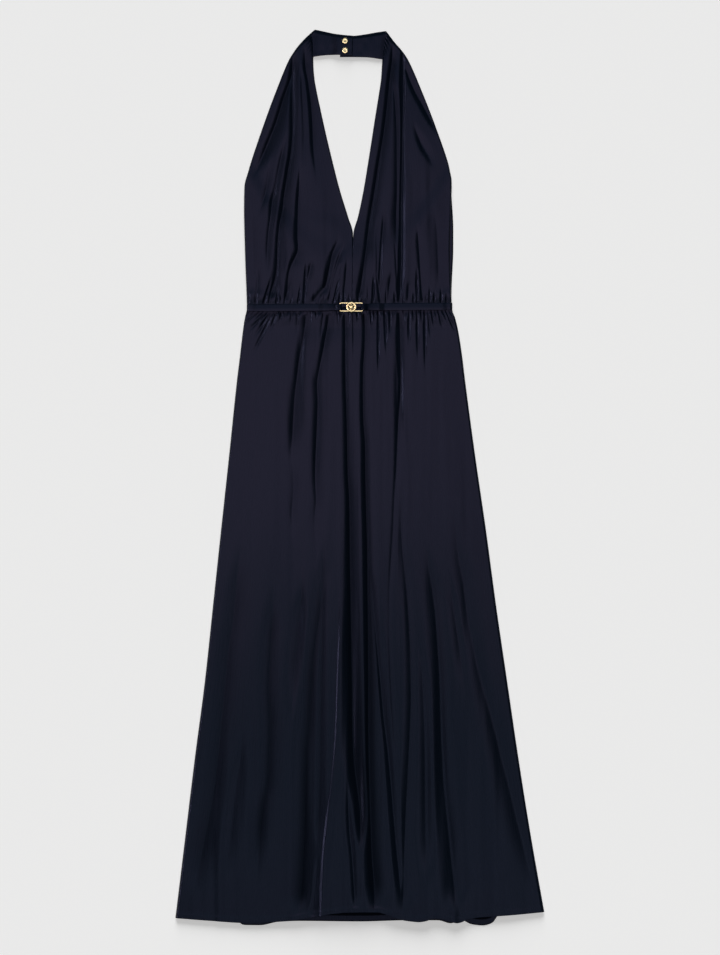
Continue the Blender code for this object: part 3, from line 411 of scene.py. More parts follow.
leftFolds = table(foldColumns, [
    ((-109.6, 1424, -117.8, 1392, -127.2, 1366, -141.4, 1321, -155.6, 1286, -170, 1251, -179, 1230), 2.2, 5,
      1.3, 14, 24, 60, 0.15),
    ((-111, 1452, -113, 1416, -114.3, 1390, -113.4, 1357, -112.8, 1319, -115.5, 1277, -120.2, 1248, -127,
      1206, -129.7, 1182, -135.5, 1152, -137.9, 1123, -139, 1088, -141.4, 1069, -148, 1046, -152, 1026), 2.6,
      5.5, 1.4, 13, 44, 20, 0.2),
    ((-139, 1090, -134.4, 1050, -129, 1027), 1.5, 5, 1, 9, 30, 6, 0.1),
    ((-92.5, 1460, -91.9, 1420, -87.2, 1390, -82.5, 1354, -80.2, 1319, -79, 1284, -75.4, 1253, -72, 1215),
      2, 5, 1.1, 13, 44, 100, 0.15),
    ((-100.2, 1427, -98, 1390, -96.7, 1366, -94.3, 1296, -96.7, 1240), 1, 5, 1.2, 9, 30, 70, 0.1),
    ((-100, 1270, -101.3, 1230, -103.8, 1182, -104.9, 1136, -103.9, 1116, -108.4, 1102, -115.5, 1088, -120.3,
      1069, -121.4, 1050, -127, 1027), 1.7, 4, 1.7, 12, 70, 8, 0.1),
    ((-146, 1268, -150.9, 1248, -157.9, 1206, -162.7, 1192, -169, 1165), 1.2, 5, 1, 11, 40, 40, 0.1),
    ((-119, 1312, -122.6, 1300, -129.7, 1274, -135.5, 1248, -142.6, 1211, -146.2, 1194, -149.7, 1164, -153.3,
      1135, -154.4, 1107, -153.3, 1065), 1.6, 4.5, 1.4, 12, 50, 60, 0.1),
    ((-35.6, 1140, -37.8, 1130, -47.2, 1107, -53, 1079, -58.9, 1055, -70.8, 1041, -81, 1027), 2.3, 5, 1.2,
      12, 40, 5, 0.2),
    ((-26.5, 1130, -28.2, 1121, -35.3, 1105, -42.4, 1083, -47.2, 1064, -53, 1027), 1.7, 4, 1, 9, 36, 6,
      0.15),
    ((-32.6, 1095, -35.3, 1083, -42.4, 1060, -48.5, 1030), 1.1, 3.5, 1, 6, 14, 6, 0.1),
    ((-21.8, 1102, -24.8, 1069, -27.6, 1029), 1.2, 4, 1, 7, 26, 8, 0.1),
    ((-80.5, 1100, -82.5, 1088, -87.3, 1069, -91.9, 1050, -89.3, 1026), 1.6, 5, 1, 9, 18, 6, 0.1),
    ((-181, 1200, -179, 1120, -176, 1050), 0.7, 6, 1, 14, 60, 40, 0.1),
    ((-170, 1090, -170.5, 1056, -176, 1027), 1, 4, 1, 8, 26, 6, 0.1),
])
rightFolds = table(foldColumns, [
    ((53, 1462, 51.8, 1432, 47.2, 1394, 42.4, 1347, 36.5, 1300, 29.5, 1258, 21.3, 1206, 14.2, 1163, 8.3,
      1116, 3.5, 1079, -2.3, 1041, -4, 1026), 2.4, 5, 1.1, 12, 44, 20, 0.2),
    ((50, 1410, 56.6, 1347, 58.6, 1296, 58.6, 1225, 57, 1160, 58, 1085), 1.3, 5, 2, 8, 40, 90, 0.1),
    ((69.5, 1458, 69.2, 1360, 68.2, 1290, 66.6, 1215, 65.6, 1164, 65.8, 1108, 64.5, 1055, 63.5, 1024), 3,
      5, 1.2, 5.2, 44, 8, 0.3),
    ((72.5, 1424, 74.3, 1413, 81.3, 1392, 90.8, 1371, 102.5, 1350, 117, 1323, 128, 1304), 2.1, 4.5, 1.2, 12,
      18, 40, 0.15),
    ((86, 1324, 90.8, 1310, 100.2, 1286, 114.3, 1262, 121, 1248), 1.8, 5, 1.1, 12, 36, 40, 0.15),
    ((28.4, 1184, 25.9, 1135, 27.1, 1097, 25, 1045), 0.9, 4, 1, 8, 40, 40, 0.1),
    ((38.6, 1190, 37.8, 1168, 34.2, 1121, 31.8, 1088, 30.7, 1060, 31, 1026), 1.5, 4.5, 1.1, 9, 40, 6, 0.1),
    ((93, 1160, 94.2, 1135, 96.7, 1097, 99, 1060, 103, 1026), 1.4, 4.5, 1, 12, 40, 6, 0.1),
    ((54.6, 1146, 58.9, 1088, 60, 1050), 0.8, 3, 1, 6, 30, 30, 0.1),
    ((51, 1080, 46, 1050, 44, 1027), 1.5, 6, 1, 8, 20, 5, 0.1),
    ((80, 1066, 77, 1026), 1.3, 5, 1, 9, 18, 5, 0.1),
    ((8, 1110, 10, 1070, 13, 1027), 0.9, 4, 1, 8, 30, 6, 0.1),
    ((118, 1200, 124, 1130, 127, 1050), 0.6, 9, 1, 16, 60, 40, 0.1),
])

# Thin raised lines: each rises over its width on the left, where it catches the light, and falls
# slowly away
ridgeColumns = "path height width top foot"
skirtRidges = table(ridgeColumns, [
    ((69.8, 935, 71.2, 877, 71.9, 830, 72.6, 794, 73.2, 755), 0.55, 1.3, 50, 60),
    ((-31.5, 575, -32.5, 503, -34.5, 454, -36.5, 404, -38.5, 333, -42.2, 278, -47.7, 223, -55, 168, -60.5,
      113, -63, 65, -64.2, 12), 1.05, 2.5, 120, 3),
])
rightRidges = table(ridgeColumns, [
    ((75.6, 1262, 75.4, 1180, 75.2, 1110, 74.6, 1056), 0.7, 2.3, 40, 20),
    ((37.4, 1150, 37, 1100, 37, 1044), 0.4, 1.1, 30, 24),
])
# Gathers: where each starts at the belt, how far it runs, how far its end leans in x, and its depth
gatherColumns = "x length lean depth"
skirtGathers = table(gatherColumns, [
    (-184, 8, -4, 0.8), (-175, 11, -12, 1.2), (-167, 18, -22, 1.6), (-160, 15, -18, 1.3),
      (-153, 26, -25, 1.6),
    (-147, 34, -22, 1.5), (-143, 62, -30, 1.2), (-137, 26, -9, 1.2), (-128, 16, -4, 1.1),
      (-121, 12, -2, 0.9),
    (-112, 22, -2, 0.8), (-102, 30, -2, 0.8), (-86, 18, -1, 1), (-81, 26, -1, 1.2), (-72, 14, 0, 0.9),
    (-44, 18, 1, 0.9), (-37, 26, 1, 0.8), (-32, 12, 0, 0.9), (-18, 28, 0, 0.9), (-4, 18, 0, 0.9),
      (12, 14, 0, 0.8),
    (18, 26, 1, 1), (24, 16, 0, 0.8), (30.6, 90, 0, 1.3), (41, 60, 2, 1.5), (50, 34, 0, 1.2),
      (55, 20, 1, 0.9),
    (72, 24, 1, 1.3), (77, 12, 0, 0.8), (81, 50, 0, 1.4), (88, 18, 1, 0.9), (94, 70, 2, 1.2),
      (101, 18, 1, 0.9),
    (107, 84, 1, 1.3), (112, 40, 4, 1), (118, 24, 4, 1.1), (124, 16, 3, 0.8), (129, 24, 6, 1.1),
      (136, 18, 8, 0.9),
    (141, 30, 14, 1.1), (147, 18, 9, 0.8),
])
bodiceGathers = table(gatherColumns, [
    (-184, 20, 2, 1), (-172, 20, 3, 1.2), (-159, 42, 13, 1.7), (-150, 18, 3, 1.1), (-137, 40, 1, 1.7),
    (-125, 42, 11, 1.7), (-114, 18, 2, 1.1), (-102, 28, 4, 1.4), (-92, 60, 3, 1.9), (-71, 22, 8, 1.3),
    (-64, 16, 4, 1), (-44, 40, 9, 1.6), (-34, 18, 2, 1.1), (-26, 28, 0, 1.4), (-18, 16, 0, 0.9),
      (-2, 24, 0, 1.2),
    (3, 14, 0, 1), (21, 40, 2, 1.9), (34, 40, -6, 1.6), (43, 20, 0, 1.2), (58, 18, -1, 1.2),
      (72, 30, -5, 1.6),
    (89, 18, -1, 1.1), (94, 50, 0, 1.4), (108, 18, 1, 1), (115, 22, 0, 1.3), (123, 16, 0, 1),
      (134, 20, 0, 1.1),
    (143, 14, 0, 0.8),
])
# A trough's form, in shares of its wall and rise, and the depths between which its painted shade comes in
foldForm = {"slimmest": 0.4, "shift": 0.35, "wallReach": 1.7, "riseReach": 1.3, "shadeDepths": (0.7, 3.4)}
gatherForm = {"reach": 3.4, "deeper": 1.4, "power": 1.6, "fade": (1.4, 0.4), "shade": 0.42,
              "shadeDepths": (0.6, 2.4)}


def acrossPath(path, height, x):
    # Distance from the path, square to it, and how far down the path this height is, from 0 to 1
    xs = np.array(path[0::2], float)[::-1]
    heights = np.array(path[1::2], float)[::-1]
    middle = smoothCurve(heights, xs, height)
    lean = (smoothCurve(heights, xs, height + 4.0) - smoothCurve(heights, xs, height - 4.0)) / 8.0
    down = np.clip((heights[-1] - height) / (heights[-1] - heights[0]), 0.0, 1.0)
    return (x - middle) / np.sqrt(1.0 + lean**2), down, heights[-1], heights[0]


def foldRelief(folds, x, height):
    # Depth of the troughs, and the painted shade at their bottoms
    form = foldForm
    troughs, shade = np.zeros_like(x), np.zeros_like(x)
    for fold in folds:
        across, down, topEnd, footEnd = acrossPath(fold.path, height, x)
        fade = smoothStep(topEnd + 1.0, topEnd - fold.top, height)
        fade = fade * smoothStep(footEnd - 1.0, footEnd + fold.foot, height)
        slim = form["slimmest"] + (1.0 - form["slimmest"]) * np.sqrt(fade)
        size = 1.0 + (fold.grow - 1.0) * down
        wall = fold.wall * size * slim
        across = across - form["shift"] * wall
        reach = np.where(across < 0.0, form["wallReach"] * wall, form["riseReach"] * fold.rise * size * slim)
        t = np.clip(np.sqrt((across / reach) ** 2 + 0.0004) - 0.02, 0.0, 1.0)
        depth = fold.depth * size * (1.0 - t) ** 2 * fade
        troughs += depth**3
        shade = np.maximum(shade, fold.shade * smoothStep(*form["shadeDepths"], depth))
    return np.cbrt(troughs), shade


def ridgeRelief(ridges, x, height):
    lines = np.zeros_like(x)
    for ridge in ridges:
        across, down, topEnd, footEnd = acrossPath(ridge.path, height, x)
        fade = smoothStep(topEnd, topEnd - ridge.top, height)
        fade = fade * smoothStep(footEnd, footEnd + ridge.foot, height)
        litSide = np.clip(1.0 + across / ridge.width, 0.0, 1.0)
        lines += ridge.height * fade * litSide * smoothStep(6.0 * ridge.width, 0.0, across)
    return lines


def gatherRelief(gathers, x, beyond):
    # beyond is the distance from the belt's edge
    form = gatherForm
    troughs = np.zeros_like(x)
    for gather in gathers:
        share = np.clip(beyond / gather.length, 0.0, 1.6)
        middle = gather.x + gather.lean * share
        lean = gather.lean / gather.length
        across = np.abs(x - middle) / np.sqrt(1.0 + lean**2) / form["reach"]
        profile = np.clip(1.0 - np.sqrt(across**2 + 0.008) + 0.09, 0.0, 1.0) ** form["power"]
        troughs += (form["deeper"] * gather.depth * profile * smoothStep(*form["fade"], share)) ** 3
    return np.cbrt(troughs)


# Painted shade at the bottoms of the gathers
def withGatherShade(shade, gathers):
    return np.maximum(shade, gatherForm["shade"] * smoothStep(*gatherForm["shadeDepths"], gathers))


def pressedAtBelt(beyond):
    # The belt presses the folds to a fifth of their depth
    return smoothStep(-4.0, 8.0, beyond) * 0.8 + 0.2


def softFloor(value, softness=0.5):
    # The value, but never below nought, with a rounded corner
    return 0.5 * (value + np.sqrt(value**2 + softness**2))


def panelLift(lift, fromEdge, edge, rise):
    # Rounded over within edge mm of the panel's sides, then rising slowly to the whole lift
    t = np.clip(fromEdge / edge, 0.0, 1.0)
    rounded = np.sqrt(1.0 - (1.0 - t) ** 2)
    low = np.minimum(lift, 3.4)
    return low * rounded + (lift - low) * smoothStep(0.0, rise, fromEdge)


frontBase = panelWall + 0.4


def puckers(x, height, beyond):
    # Fine uneven gathers beside the belt
    fade = smoothStep(0.0, 5.0, beyond) * np.exp(-np.clip(beyond, 0.0, None) / 15.0)
    return 0.6 * softNoise(x, height, 4.2, 34.0, 61) * fade


def scoopHeight(x):
    away = np.clip(np.abs(x - (waistLeft + waistRight) / 2) / ((waistRight - waistLeft) / 2), 0.0, 1.0)
    return 1062.0 + 150.0 * away**2.2


def beltHump(height, reach, fade):
    away = np.abs(height - beltHeight)
    return (beltThickness + seamGap) * (1.0 - smoothStep(reach, reach + fade, away))


def frontSupport(x, height):
    over = beltHump(height, 13.0, 22.0) + frontBase
    return over * (1.0 - smoothStep(20.0, 70.0, height - scoopHeight(x)))


def backSurface(gatherRows, x, height, beyond):
    # The back has the front's gathers the other way round, and lower
    gathers = np.clip(gatherRelief(gatherRows, -x - 34.0, np.clip(beyond, 0.0, None)), 0.0, 1.2)
    return beltHump(height, 8.0, 10.0) + 0.62 + 0.35 * gathers * smoothStep(0.0, 10.0, beyond)


print("Cloth panels")


def setMode(mode):
    bpy.ops.object.mode_set(mode=mode)


def clearSelection():
    if bpy.context.object and bpy.context.object.mode != "OBJECT":
        setMode("OBJECT")
    bpy.ops.object.select_all(action="DESELECT")


def selectOnly(obj):
    clearSelection()
    obj.select_set(True)
    bpy.context.view_layer.objects.active = obj


def addThickness(obj, thickness):
    wall = obj.modifiers.new("thickness", "SOLIDIFY")
    wall.thickness = thickness * mm
    wall.offset = -1.0
    applyModifiers(obj)


def applyModifiers(obj):
    selectOnly(obj)
    for modifier in list(obj.modifiers):
        bpy.ops.object.modifier_apply(modifier=modifier.name)


def clothGrid(name, columns, rows, shape, cut, thickness):
    # A flat grid pulled into the panel's shape; shape(u, v) gives x, height and z of its upper side, and the
    # painted shade there
    clearSelection()
    bpy.ops.mesh.primitive_grid_add(x_subdivisions=columns, y_subdivisions=rows, size=1.0)
    obj = bpy.context.object
    obj.name = name
    mesh = obj.data
    mesh.name = name
    points = np.empty(len(mesh.vertices) * 3)
    mesh.vertices.foreach_get("co", points)
    points = points.reshape(-1, 3)
    u, v = points[:, 0] + 0.5, 0.5 - points[:, 1]
    x, height, z, paintedShade = shape(u, v)
    placed = np.stack([x, height - dressLength / 2, z], axis=1) * mm
    mesh.vertices.foreach_set("co", placed.ravel())
    loops = np.empty(len(mesh.loops), int)
    mesh.loops.foreach_get("vertex_index", loops)
    layer = mesh.uv_layers[0] if mesh.uv_layers else mesh.uv_layers.new()
    layer.name = "cut"
    layer.data.foreach_set("uv", np.stack([u[loops] * cut[0], -v[loops] * cut[1]], axis=1).ravel())
    # The painted shade in the folds goes on the mesh as a point attribute
    mesh.attributes.new("paintedShade", "FLOAT", "POINT").data.foreach_set("value", paintedShade)
    mesh.update()
    mesh.shade_smooth()
    addThickness(obj, thickness)
    mesh.materials.append(satin)
    return obj


def dressPiece(obj, node):
    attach(obj, "root")
    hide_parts(node)


skirtSize = {
    "grid": (330, 144),
    "cut": (0.72, 1.02),       # cut width at the hem and length of one gathered panel
    "cutArea": 0.60,
    "thickness": 0.5,
    "hemTurn": 9.0,
    "edge": 2.8,               # the run over which its sides are rounded
    "rise": 60.0,
}
halterSize = {"grid": (180, 150), "cut": (0.26, 0.46), "cutArea": 0.070, "edge": 2.4, "rise": 60.0}
skirtBackSize = {**skirtSize, "grid": (150, 90)}
bodiceBackSize = {"grid": (130, 40), "cut": (0.44, 0.20), "cutArea": 0.040}


def spreadRows(v, places):
    # Rows stand closer where the cloth is busier
    return np.interp(v, np.linspace(0.0, 1.0, len(places)), places)


def rowPlaces(steps):
    # Places from 0 to 1; each step is the distance between rows up to its place
    places = [0.0]
    for step, until in steps:
        while places[-1] < until - 1e-6:
            places.append(min(places[-1] + step, until))
    return np.array(places) / places[-1]


def alongSkirt(values, height):
    return smoothCurve(column(skirtSides, "height")[::-1], values[::-1], height)


def skirtOutline(hem, u, v, inset):
    top = waistHeight - seamGap / 2
    near = waistLeft + u * (waistRight - waistLeft)
    hemX = column(hem, "x")
    near = near + (u - 0.5) * v * (hemX[-1] - hemX[0] - waistRight + waistLeft) + 17.2 * v
    foot = smoothCurve(hemX, column(hem, "height"), near)
    height = top + (foot - top) * v
    left = alongSkirt(column(skirtSides, "left"), height) + inset
    right = alongSkirt(column(skirtSides, "right"), height) - inset
    return left + u * (right - left), height, foot


skirtWidths = column(skirtSides, "right") - column(skirtSides, "left")
skirtRows = rowPlaces([(2.2, 70), (4, 130), (9, 940), (5, 980), (2.2, 1000)])
# Columns stand closer in the middle, where the thin lines are
columnPlaces = rowPlaces([(0.0042, 0.26), (0.0022, 0.68), (0.0042, 1.0)])


def skirtFrontShape(u, v):
    down = spreadRows(v, skirtRows)
    u = spreadRows(u, columnPlaces)
    x, height, foot = skirtOutline(frontHem, u, down, 0.0)
    beyond = beltHeight + beltTilt * x - beltEdge - height
    fromWaist = waistHeight - height
    fromEdge = np.minimum(u, 1.0 - u) * alongSkirt(skirtWidths, height)
    middle = np.exp(-((x / 110.0) ** 2))
    puff = 1.5 * smoothStep(-2.0, 10.0, beyond) + (1.7 + 1.8 * middle) * smoothStep(0.0, 70.0, beyond)
    body = (0.8 + 2.0 * middle) * smoothStep(60.0, 500.0, fromWaist)
    arch = 4.6 * smoothStep(680.0, 990.0, fromWaist) * np.exp(-((x + 10.0) / 66.0) ** 2)
    wave = 3.2 * smoothStep(850.0, 990.0, fromWaist) * np.exp(-((x - 128.0) / 60.0) ** 2)
    ripples = 0.36 * softNoise(x, height, 11.0, 240.0, 5) + 0.75 * softNoise(x, height, 38.0, 330.0, 8)
    ripples = ripples + 0.16 * softNoise(x, height, 6.5, 110.0, 11) * smoothStep(500.0, 100.0, fromWaist)
    ripples = ripples + 0.34 * softNoise(x, height, 8.0, 260.0, 14) * np.exp(-((x - 10.0) / 60.0) ** 2)
    lift = 0.7 + puff + body + arch + wave + ripples * smoothStep(0.0, 60.0, beyond)
    lift = panelLift(lift, fromEdge, skirtSize["edge"], skirtSize["rise"])
    troughs, shade = foldRelief(skirtFolds, x, height)
    gathers = gatherRelief(skirtGathers, x, np.clip(beyond, 0.0, None))
    cuts = np.cbrt(troughs**3 + gathers**3)
    z = frontSupport(x, height) + 0.4 + softFloor(lift - cuts * pressedAtBelt(beyond))
    z = z + ridgeRelief(skirtRidges, x, height)
    z = z + puckers(x, height, beyond)
    z = z + 0.45 * smoothStep(skirtSize["hemTurn"] + 0.8, skirtSize["hemTurn"] - 0.8, height - foot)
    return x, height, z, withGatherShade(shade, gathers)


def skirtBackShape(u, v):
    down = spreadRows(v, skirtRows)
    x, height, _ = skirtOutline(backHem, u, down, 0.8)
    z = backSurface(skirtGathers, x, height, beltHeight - 7.0 - height)
    return x, height, z, np.zeros_like(x)


def halterShape(edges, folds, ridges, side):
    rowsHere = rowPlaces([(2.6, 60), (3.6, 380), (2.2, 470)])
    edge, rise = halterSize["edge"], halterSize["rise"]

    def shape(u, v):
        down = spreadRows(v, rowsHere)
        inner, outer = rowsBetween(edges, "innerX", down), rowsBetween(edges, "outerX", down)
        innerHeight = rowsBetween(edges, "innerHeight", down)
        outerHeight = rowsBetween(edges, "outerHeight", down)
        share = u if side > 0 else 1.0 - u
        height = innerHeight + share * (outerHeight - innerHeight)
        height = height + seamGap / 2 * smoothStep(0.9, 1.0, down)
        inner = inner - side * 0.45 * smoothStep(1140.0, 1126.0, innerHeight)
        x = inner + share * (outer - inner)
        beyond = height - (beltHeight + beltTilt * x) - beltEdge
        width = np.abs(outer - inner)
        fromEdge = np.minimum(share, 1.0 - share) * width
        fromNeck = 0.3 + 0.7 * smoothStep(0.0, 0.12, down)
        puff = 1.6 * smoothStep(-2.0, 8.0, beyond) + 3.0 * smoothStep(0.0, 60.0, beyond) * fromNeck
        blouse = 1.2 * smoothStep(0.6, 0.85, down) * smoothStep(0.0, 26.0, beyond)
        ripples = 0.35 * softNoise(x, height, 9.0, 120.0, 21 + side)
        ripples = ripples + 0.6 * softNoise(x, height, 30.0, 200.0, 31)
        lift = 0.7 + puff + blouse + ripples * smoothStep(0.0, 50.0, beyond)
        # Below the V the two panels are sewn together, so they don't fall away to the floor there
        joined = smoothStep(1190.0, 1090.0, height) * (share < 0.5)
        sewn = panelLift(lift, fromEdge + rise, edge, rise) - 0.3 * np.exp(-(share * width / 1.1) ** 2)
        lift = panelLift(lift, fromEdge, edge, rise)
        lift = lift + (sewn - lift) * joined
        troughs, shade = foldRelief(folds, x, height)
        gathers = gatherRelief(bodiceGathers, x, np.clip(beyond, 0.0, None))
        neck = 0.6 * (0.5 - 0.5 * np.cos(share * 7.0 * 2.0 * math.pi)) * smoothStep(0.14, 0.0, down)
        cuts = np.cbrt(troughs**3 + gathers**3) * pressedAtBelt(beyond) + neck
        z = frontSupport(x, height) + 0.4 + softFloor(lift - cuts)
        z = z + ridgeRelief(ridges, x, height) + puckers(x, height, beyond)
        # Painted shade along the halter's top, under the neckband
        shade = np.maximum(shade, 0.42 * smoothStep(0.17, 0.02, down))
        return x, height, z, withGatherShade(shade, gathers)

    return shape


def bodiceBackShape(u, v):
    foot = waistHeight + seamGap / 2
    x = waistLeft + 0.8 + u * (waistRight - waistLeft - 1.6)
    height = foot + (scoopHeight(x) - foot) * (1.0 - v)
    spread = np.where(u < 0.5, -3.0, 2.9) * smoothStep(0.8, 1.0, np.abs(2.0 * u - 1.0))
    x = x + spread * smoothStep(1040.0, 1120.0, height) * smoothStep(1214.0, 1150.0, height)
    z = backSurface(bodiceGathers, x, height, height - beltHeight - 7.0)
    return x, height, z, np.zeros_like(x)


def showWrongSide(panel, hemTurn):
    # All of the panel's upper side but the turned hem
    mesh = panel.data
    mesh.materials.append(wrongSide)
    hemX, hemHeight = column(backHem, "x"), column(backHem, "height")
    for face in mesh.polygons:
        height = face.center.y / mm + dressLength / 2
        turned = height - np.interp(face.center.x / mm, hemX, hemHeight) < hemTurn
        if face.normal.z > 0.0 and not turned:
            face.material_index = 1


def makePanel(name, node, size, shape):
    panel = clothGrid(name, *size["grid"], shape, size["cut"], skirtSize["thickness"])
    dressPiece(panel, node)
    return panel


def makePanels():
    skirt, halter, low = skirtSize, halterSize, bodiceBackSize
    leftShape = halterShape(leftHalter, leftFolds, [], -1)
    rightShape = halterShape(rightHalter, rightFolds, rightRidges, 1)
    front = makePanel("skirt_front_cloth", "skirt_front", skirt, skirtFrontShape)
    back = makePanel("skirt_back_cloth", "skirt_back", skirtBackSize, skirtBackShape)
    bodyBack = makePanel("bodice_back_cloth", "bodice_back", low, bodiceBackShape)
    left = makePanel("bodice_left_cloth", "bodice_front_left", halter, leftShape)
    right = makePanel("bodice_right_cloth", "bodice_front_right", halter, rightShape)
    showWrongSide(back, skirt["hemTurn"])


makePanels()

print("Neckband")

bandSize = {"thickness": 1.6, "wall": 1.1, "edge": 1.4, "lapLeft": -33.0, "lift": 1.9,
            "cut": (0.075, 0.045), "cutArea": 0.0030}


def bandShape(edges, onTop):
    def shape(u, v):
        topX, footX = rowsBetween(edges, "topX", u), rowsBetween(edges, "footX", u)
        topHeight, footHeight = rowsBetween(edges, "topHeight", u), rowsBetween(edges, "footHeight", u)
        tuck = 5.0 * smoothStep(0.12, 0.0, u if onTop else 1.0 - u) * smoothStep(0.0, 0.22, v)
        x = topX + v * (footX - topX) + (-tuck if onTop else tuck)
        height = topHeight + v * (footHeight - topHeight)
        edge = np.minimum(v, 1.0 - v) * (topHeight - footHeight)
        if onTop:
            edge = np.minimum(edge, (1.0 - u) * 62.0)
        z = bandSize["thickness"] + bandSize["lift"] * smoothStep(-0.1, 0.16, v) - 0.25 * tuck
        if onTop:
            climb = smoothStep(bandSize["lapLeft"] - 16.0, bandSize["lapLeft"] - 1.0, x)
            z = z + (bandSize["thickness"] + seamGap) * climb
        z = z - 0.55 * (1.0 - np.clip(edge / bandSize["edge"], 0.0, 1.0)) ** 2
        z = z + 0.16 * softNoise(x, height, 9.0, 14.0, 41) * smoothStep(0.0, 5.0, edge)
        return x, height, z, np.zeros_like(x)

    return shape


def makeNeckband():
    for name, node, edges, onTop in (("neckband_left_cloth", "neckband_left", leftBand, True),
                                     ("neckband_right_cloth", "neckband_right", rightBand, False)):
        band = clothGrid(name, 90, 50, bandShape(edges, onTop), bandSize["cut"], bandSize["wall"])
        dressPiece(band, node)


makeNeckband()

print("Belt")

beltSize = {"tuck": 2.9, "width": 12.0, "endWidth": 10.6, "rise": 0.9, "wall": 0.3, "sides": 24, "step": 1.5,
            "cut": (0.72, 0.026), "cutArea": 0.0187}
buckleSize = {"x": -14.3, "length": 36.4, "depth": 13.2, "corner": 1.5, "wire": 2.4, "medallion": 17.0}
# Each half turn of the belt: how many points, and the degrees between them
turnPoints = 9
turnStep = 22.5


def beltLevels():
    # Heights of the belt's middle behind, at the sides, in front and over its own return, and the bar's
    behind = beltThickness / 2
    atSide = beltThickness + seamGap + 2 * panelWall + seamGap + seamGap + beltThickness / 2
    inFront = atSide + beltSize["rise"]
    overReturn = inFront + beltThickness + seamGap
    bar = inFront + buckleSize["wire"] / 2 + seamGap + beltThickness / 2
    return behind, atSide, inFront, overReturn, bar


def beltPath():
    # Centre line from the left hooked end, round behind the dress, to the right hooked end
    behind, atSide, inFront, overReturn, bar = beltLevels()
    hook = buckleSize["wire"] / 2 + seamGap + beltThickness / 2
    barX = buckleSize["length"] / 2
    half = [(barX + reach, inFront) for reach in (24.0, 18.0, 12.0, 6.0, 2.0)]
    for step in range(turnPoints):
        angle = math.radians(-90.0 - turnStep * step)
        half.append((barX + hook * math.cos(angle), bar + hook * math.sin(angle)))
    half += [(barX + 2.0, bar + hook - 0.1), (barX + 5.0, bar + hook - 0.9), (barX + 9.0, overReturn + 0.4)]
    half += [(barX + 14.0, overReturn), (barX + 26.0, overReturn), (barX + 32.0, (overReturn + inFront) / 2)]
    half += [(barX + 38.0, inFront)]
    turn, middle = (atSide - behind) / 2, (atSide + behind) / 2
    ends = []
    for sign, side, slack in ((-1.0, waistLeft + beltSize["tuck"], 6),
                              (1.0, waistRight - beltSize["tuck"], 5)):
        end = [(buckleSize["x"] + sign * x, z) for x, z in half]
        end += [(x, inFront) for x in np.linspace(end[-1][0] + sign * 15.0, side - sign * 14.0, slack)]
        end += [(side - sign * 9.0, (inFront + atSide) / 2), (side - sign * 4.0, atSide)]
        for step in range(turnPoints):
            angle = math.radians(90.0 - turnStep * step)
            end.append((side + sign * (seamGap + turn * math.cos(angle)), middle + turn * math.sin(angle)))
        ends.append(end)
    back = [(x, behind) for x in np.linspace(waistLeft + 8.0, waistRight - 8.0, 7)]
    return np.array(ends[0] + back + ends[1][::-1])


def densePath(points, step):
    lengths = np.concatenate([[0.0], np.cumsum(np.linalg.norm(np.diff(points, axis=0), axis=1))])
    places = np.linspace(0.0, lengths[-1], int(lengths[-1] / step))
    curves = [smoothCurve(lengths, points[:, i], places) for i in range(points.shape[1])]
    return np.stack(curves, axis=1), places


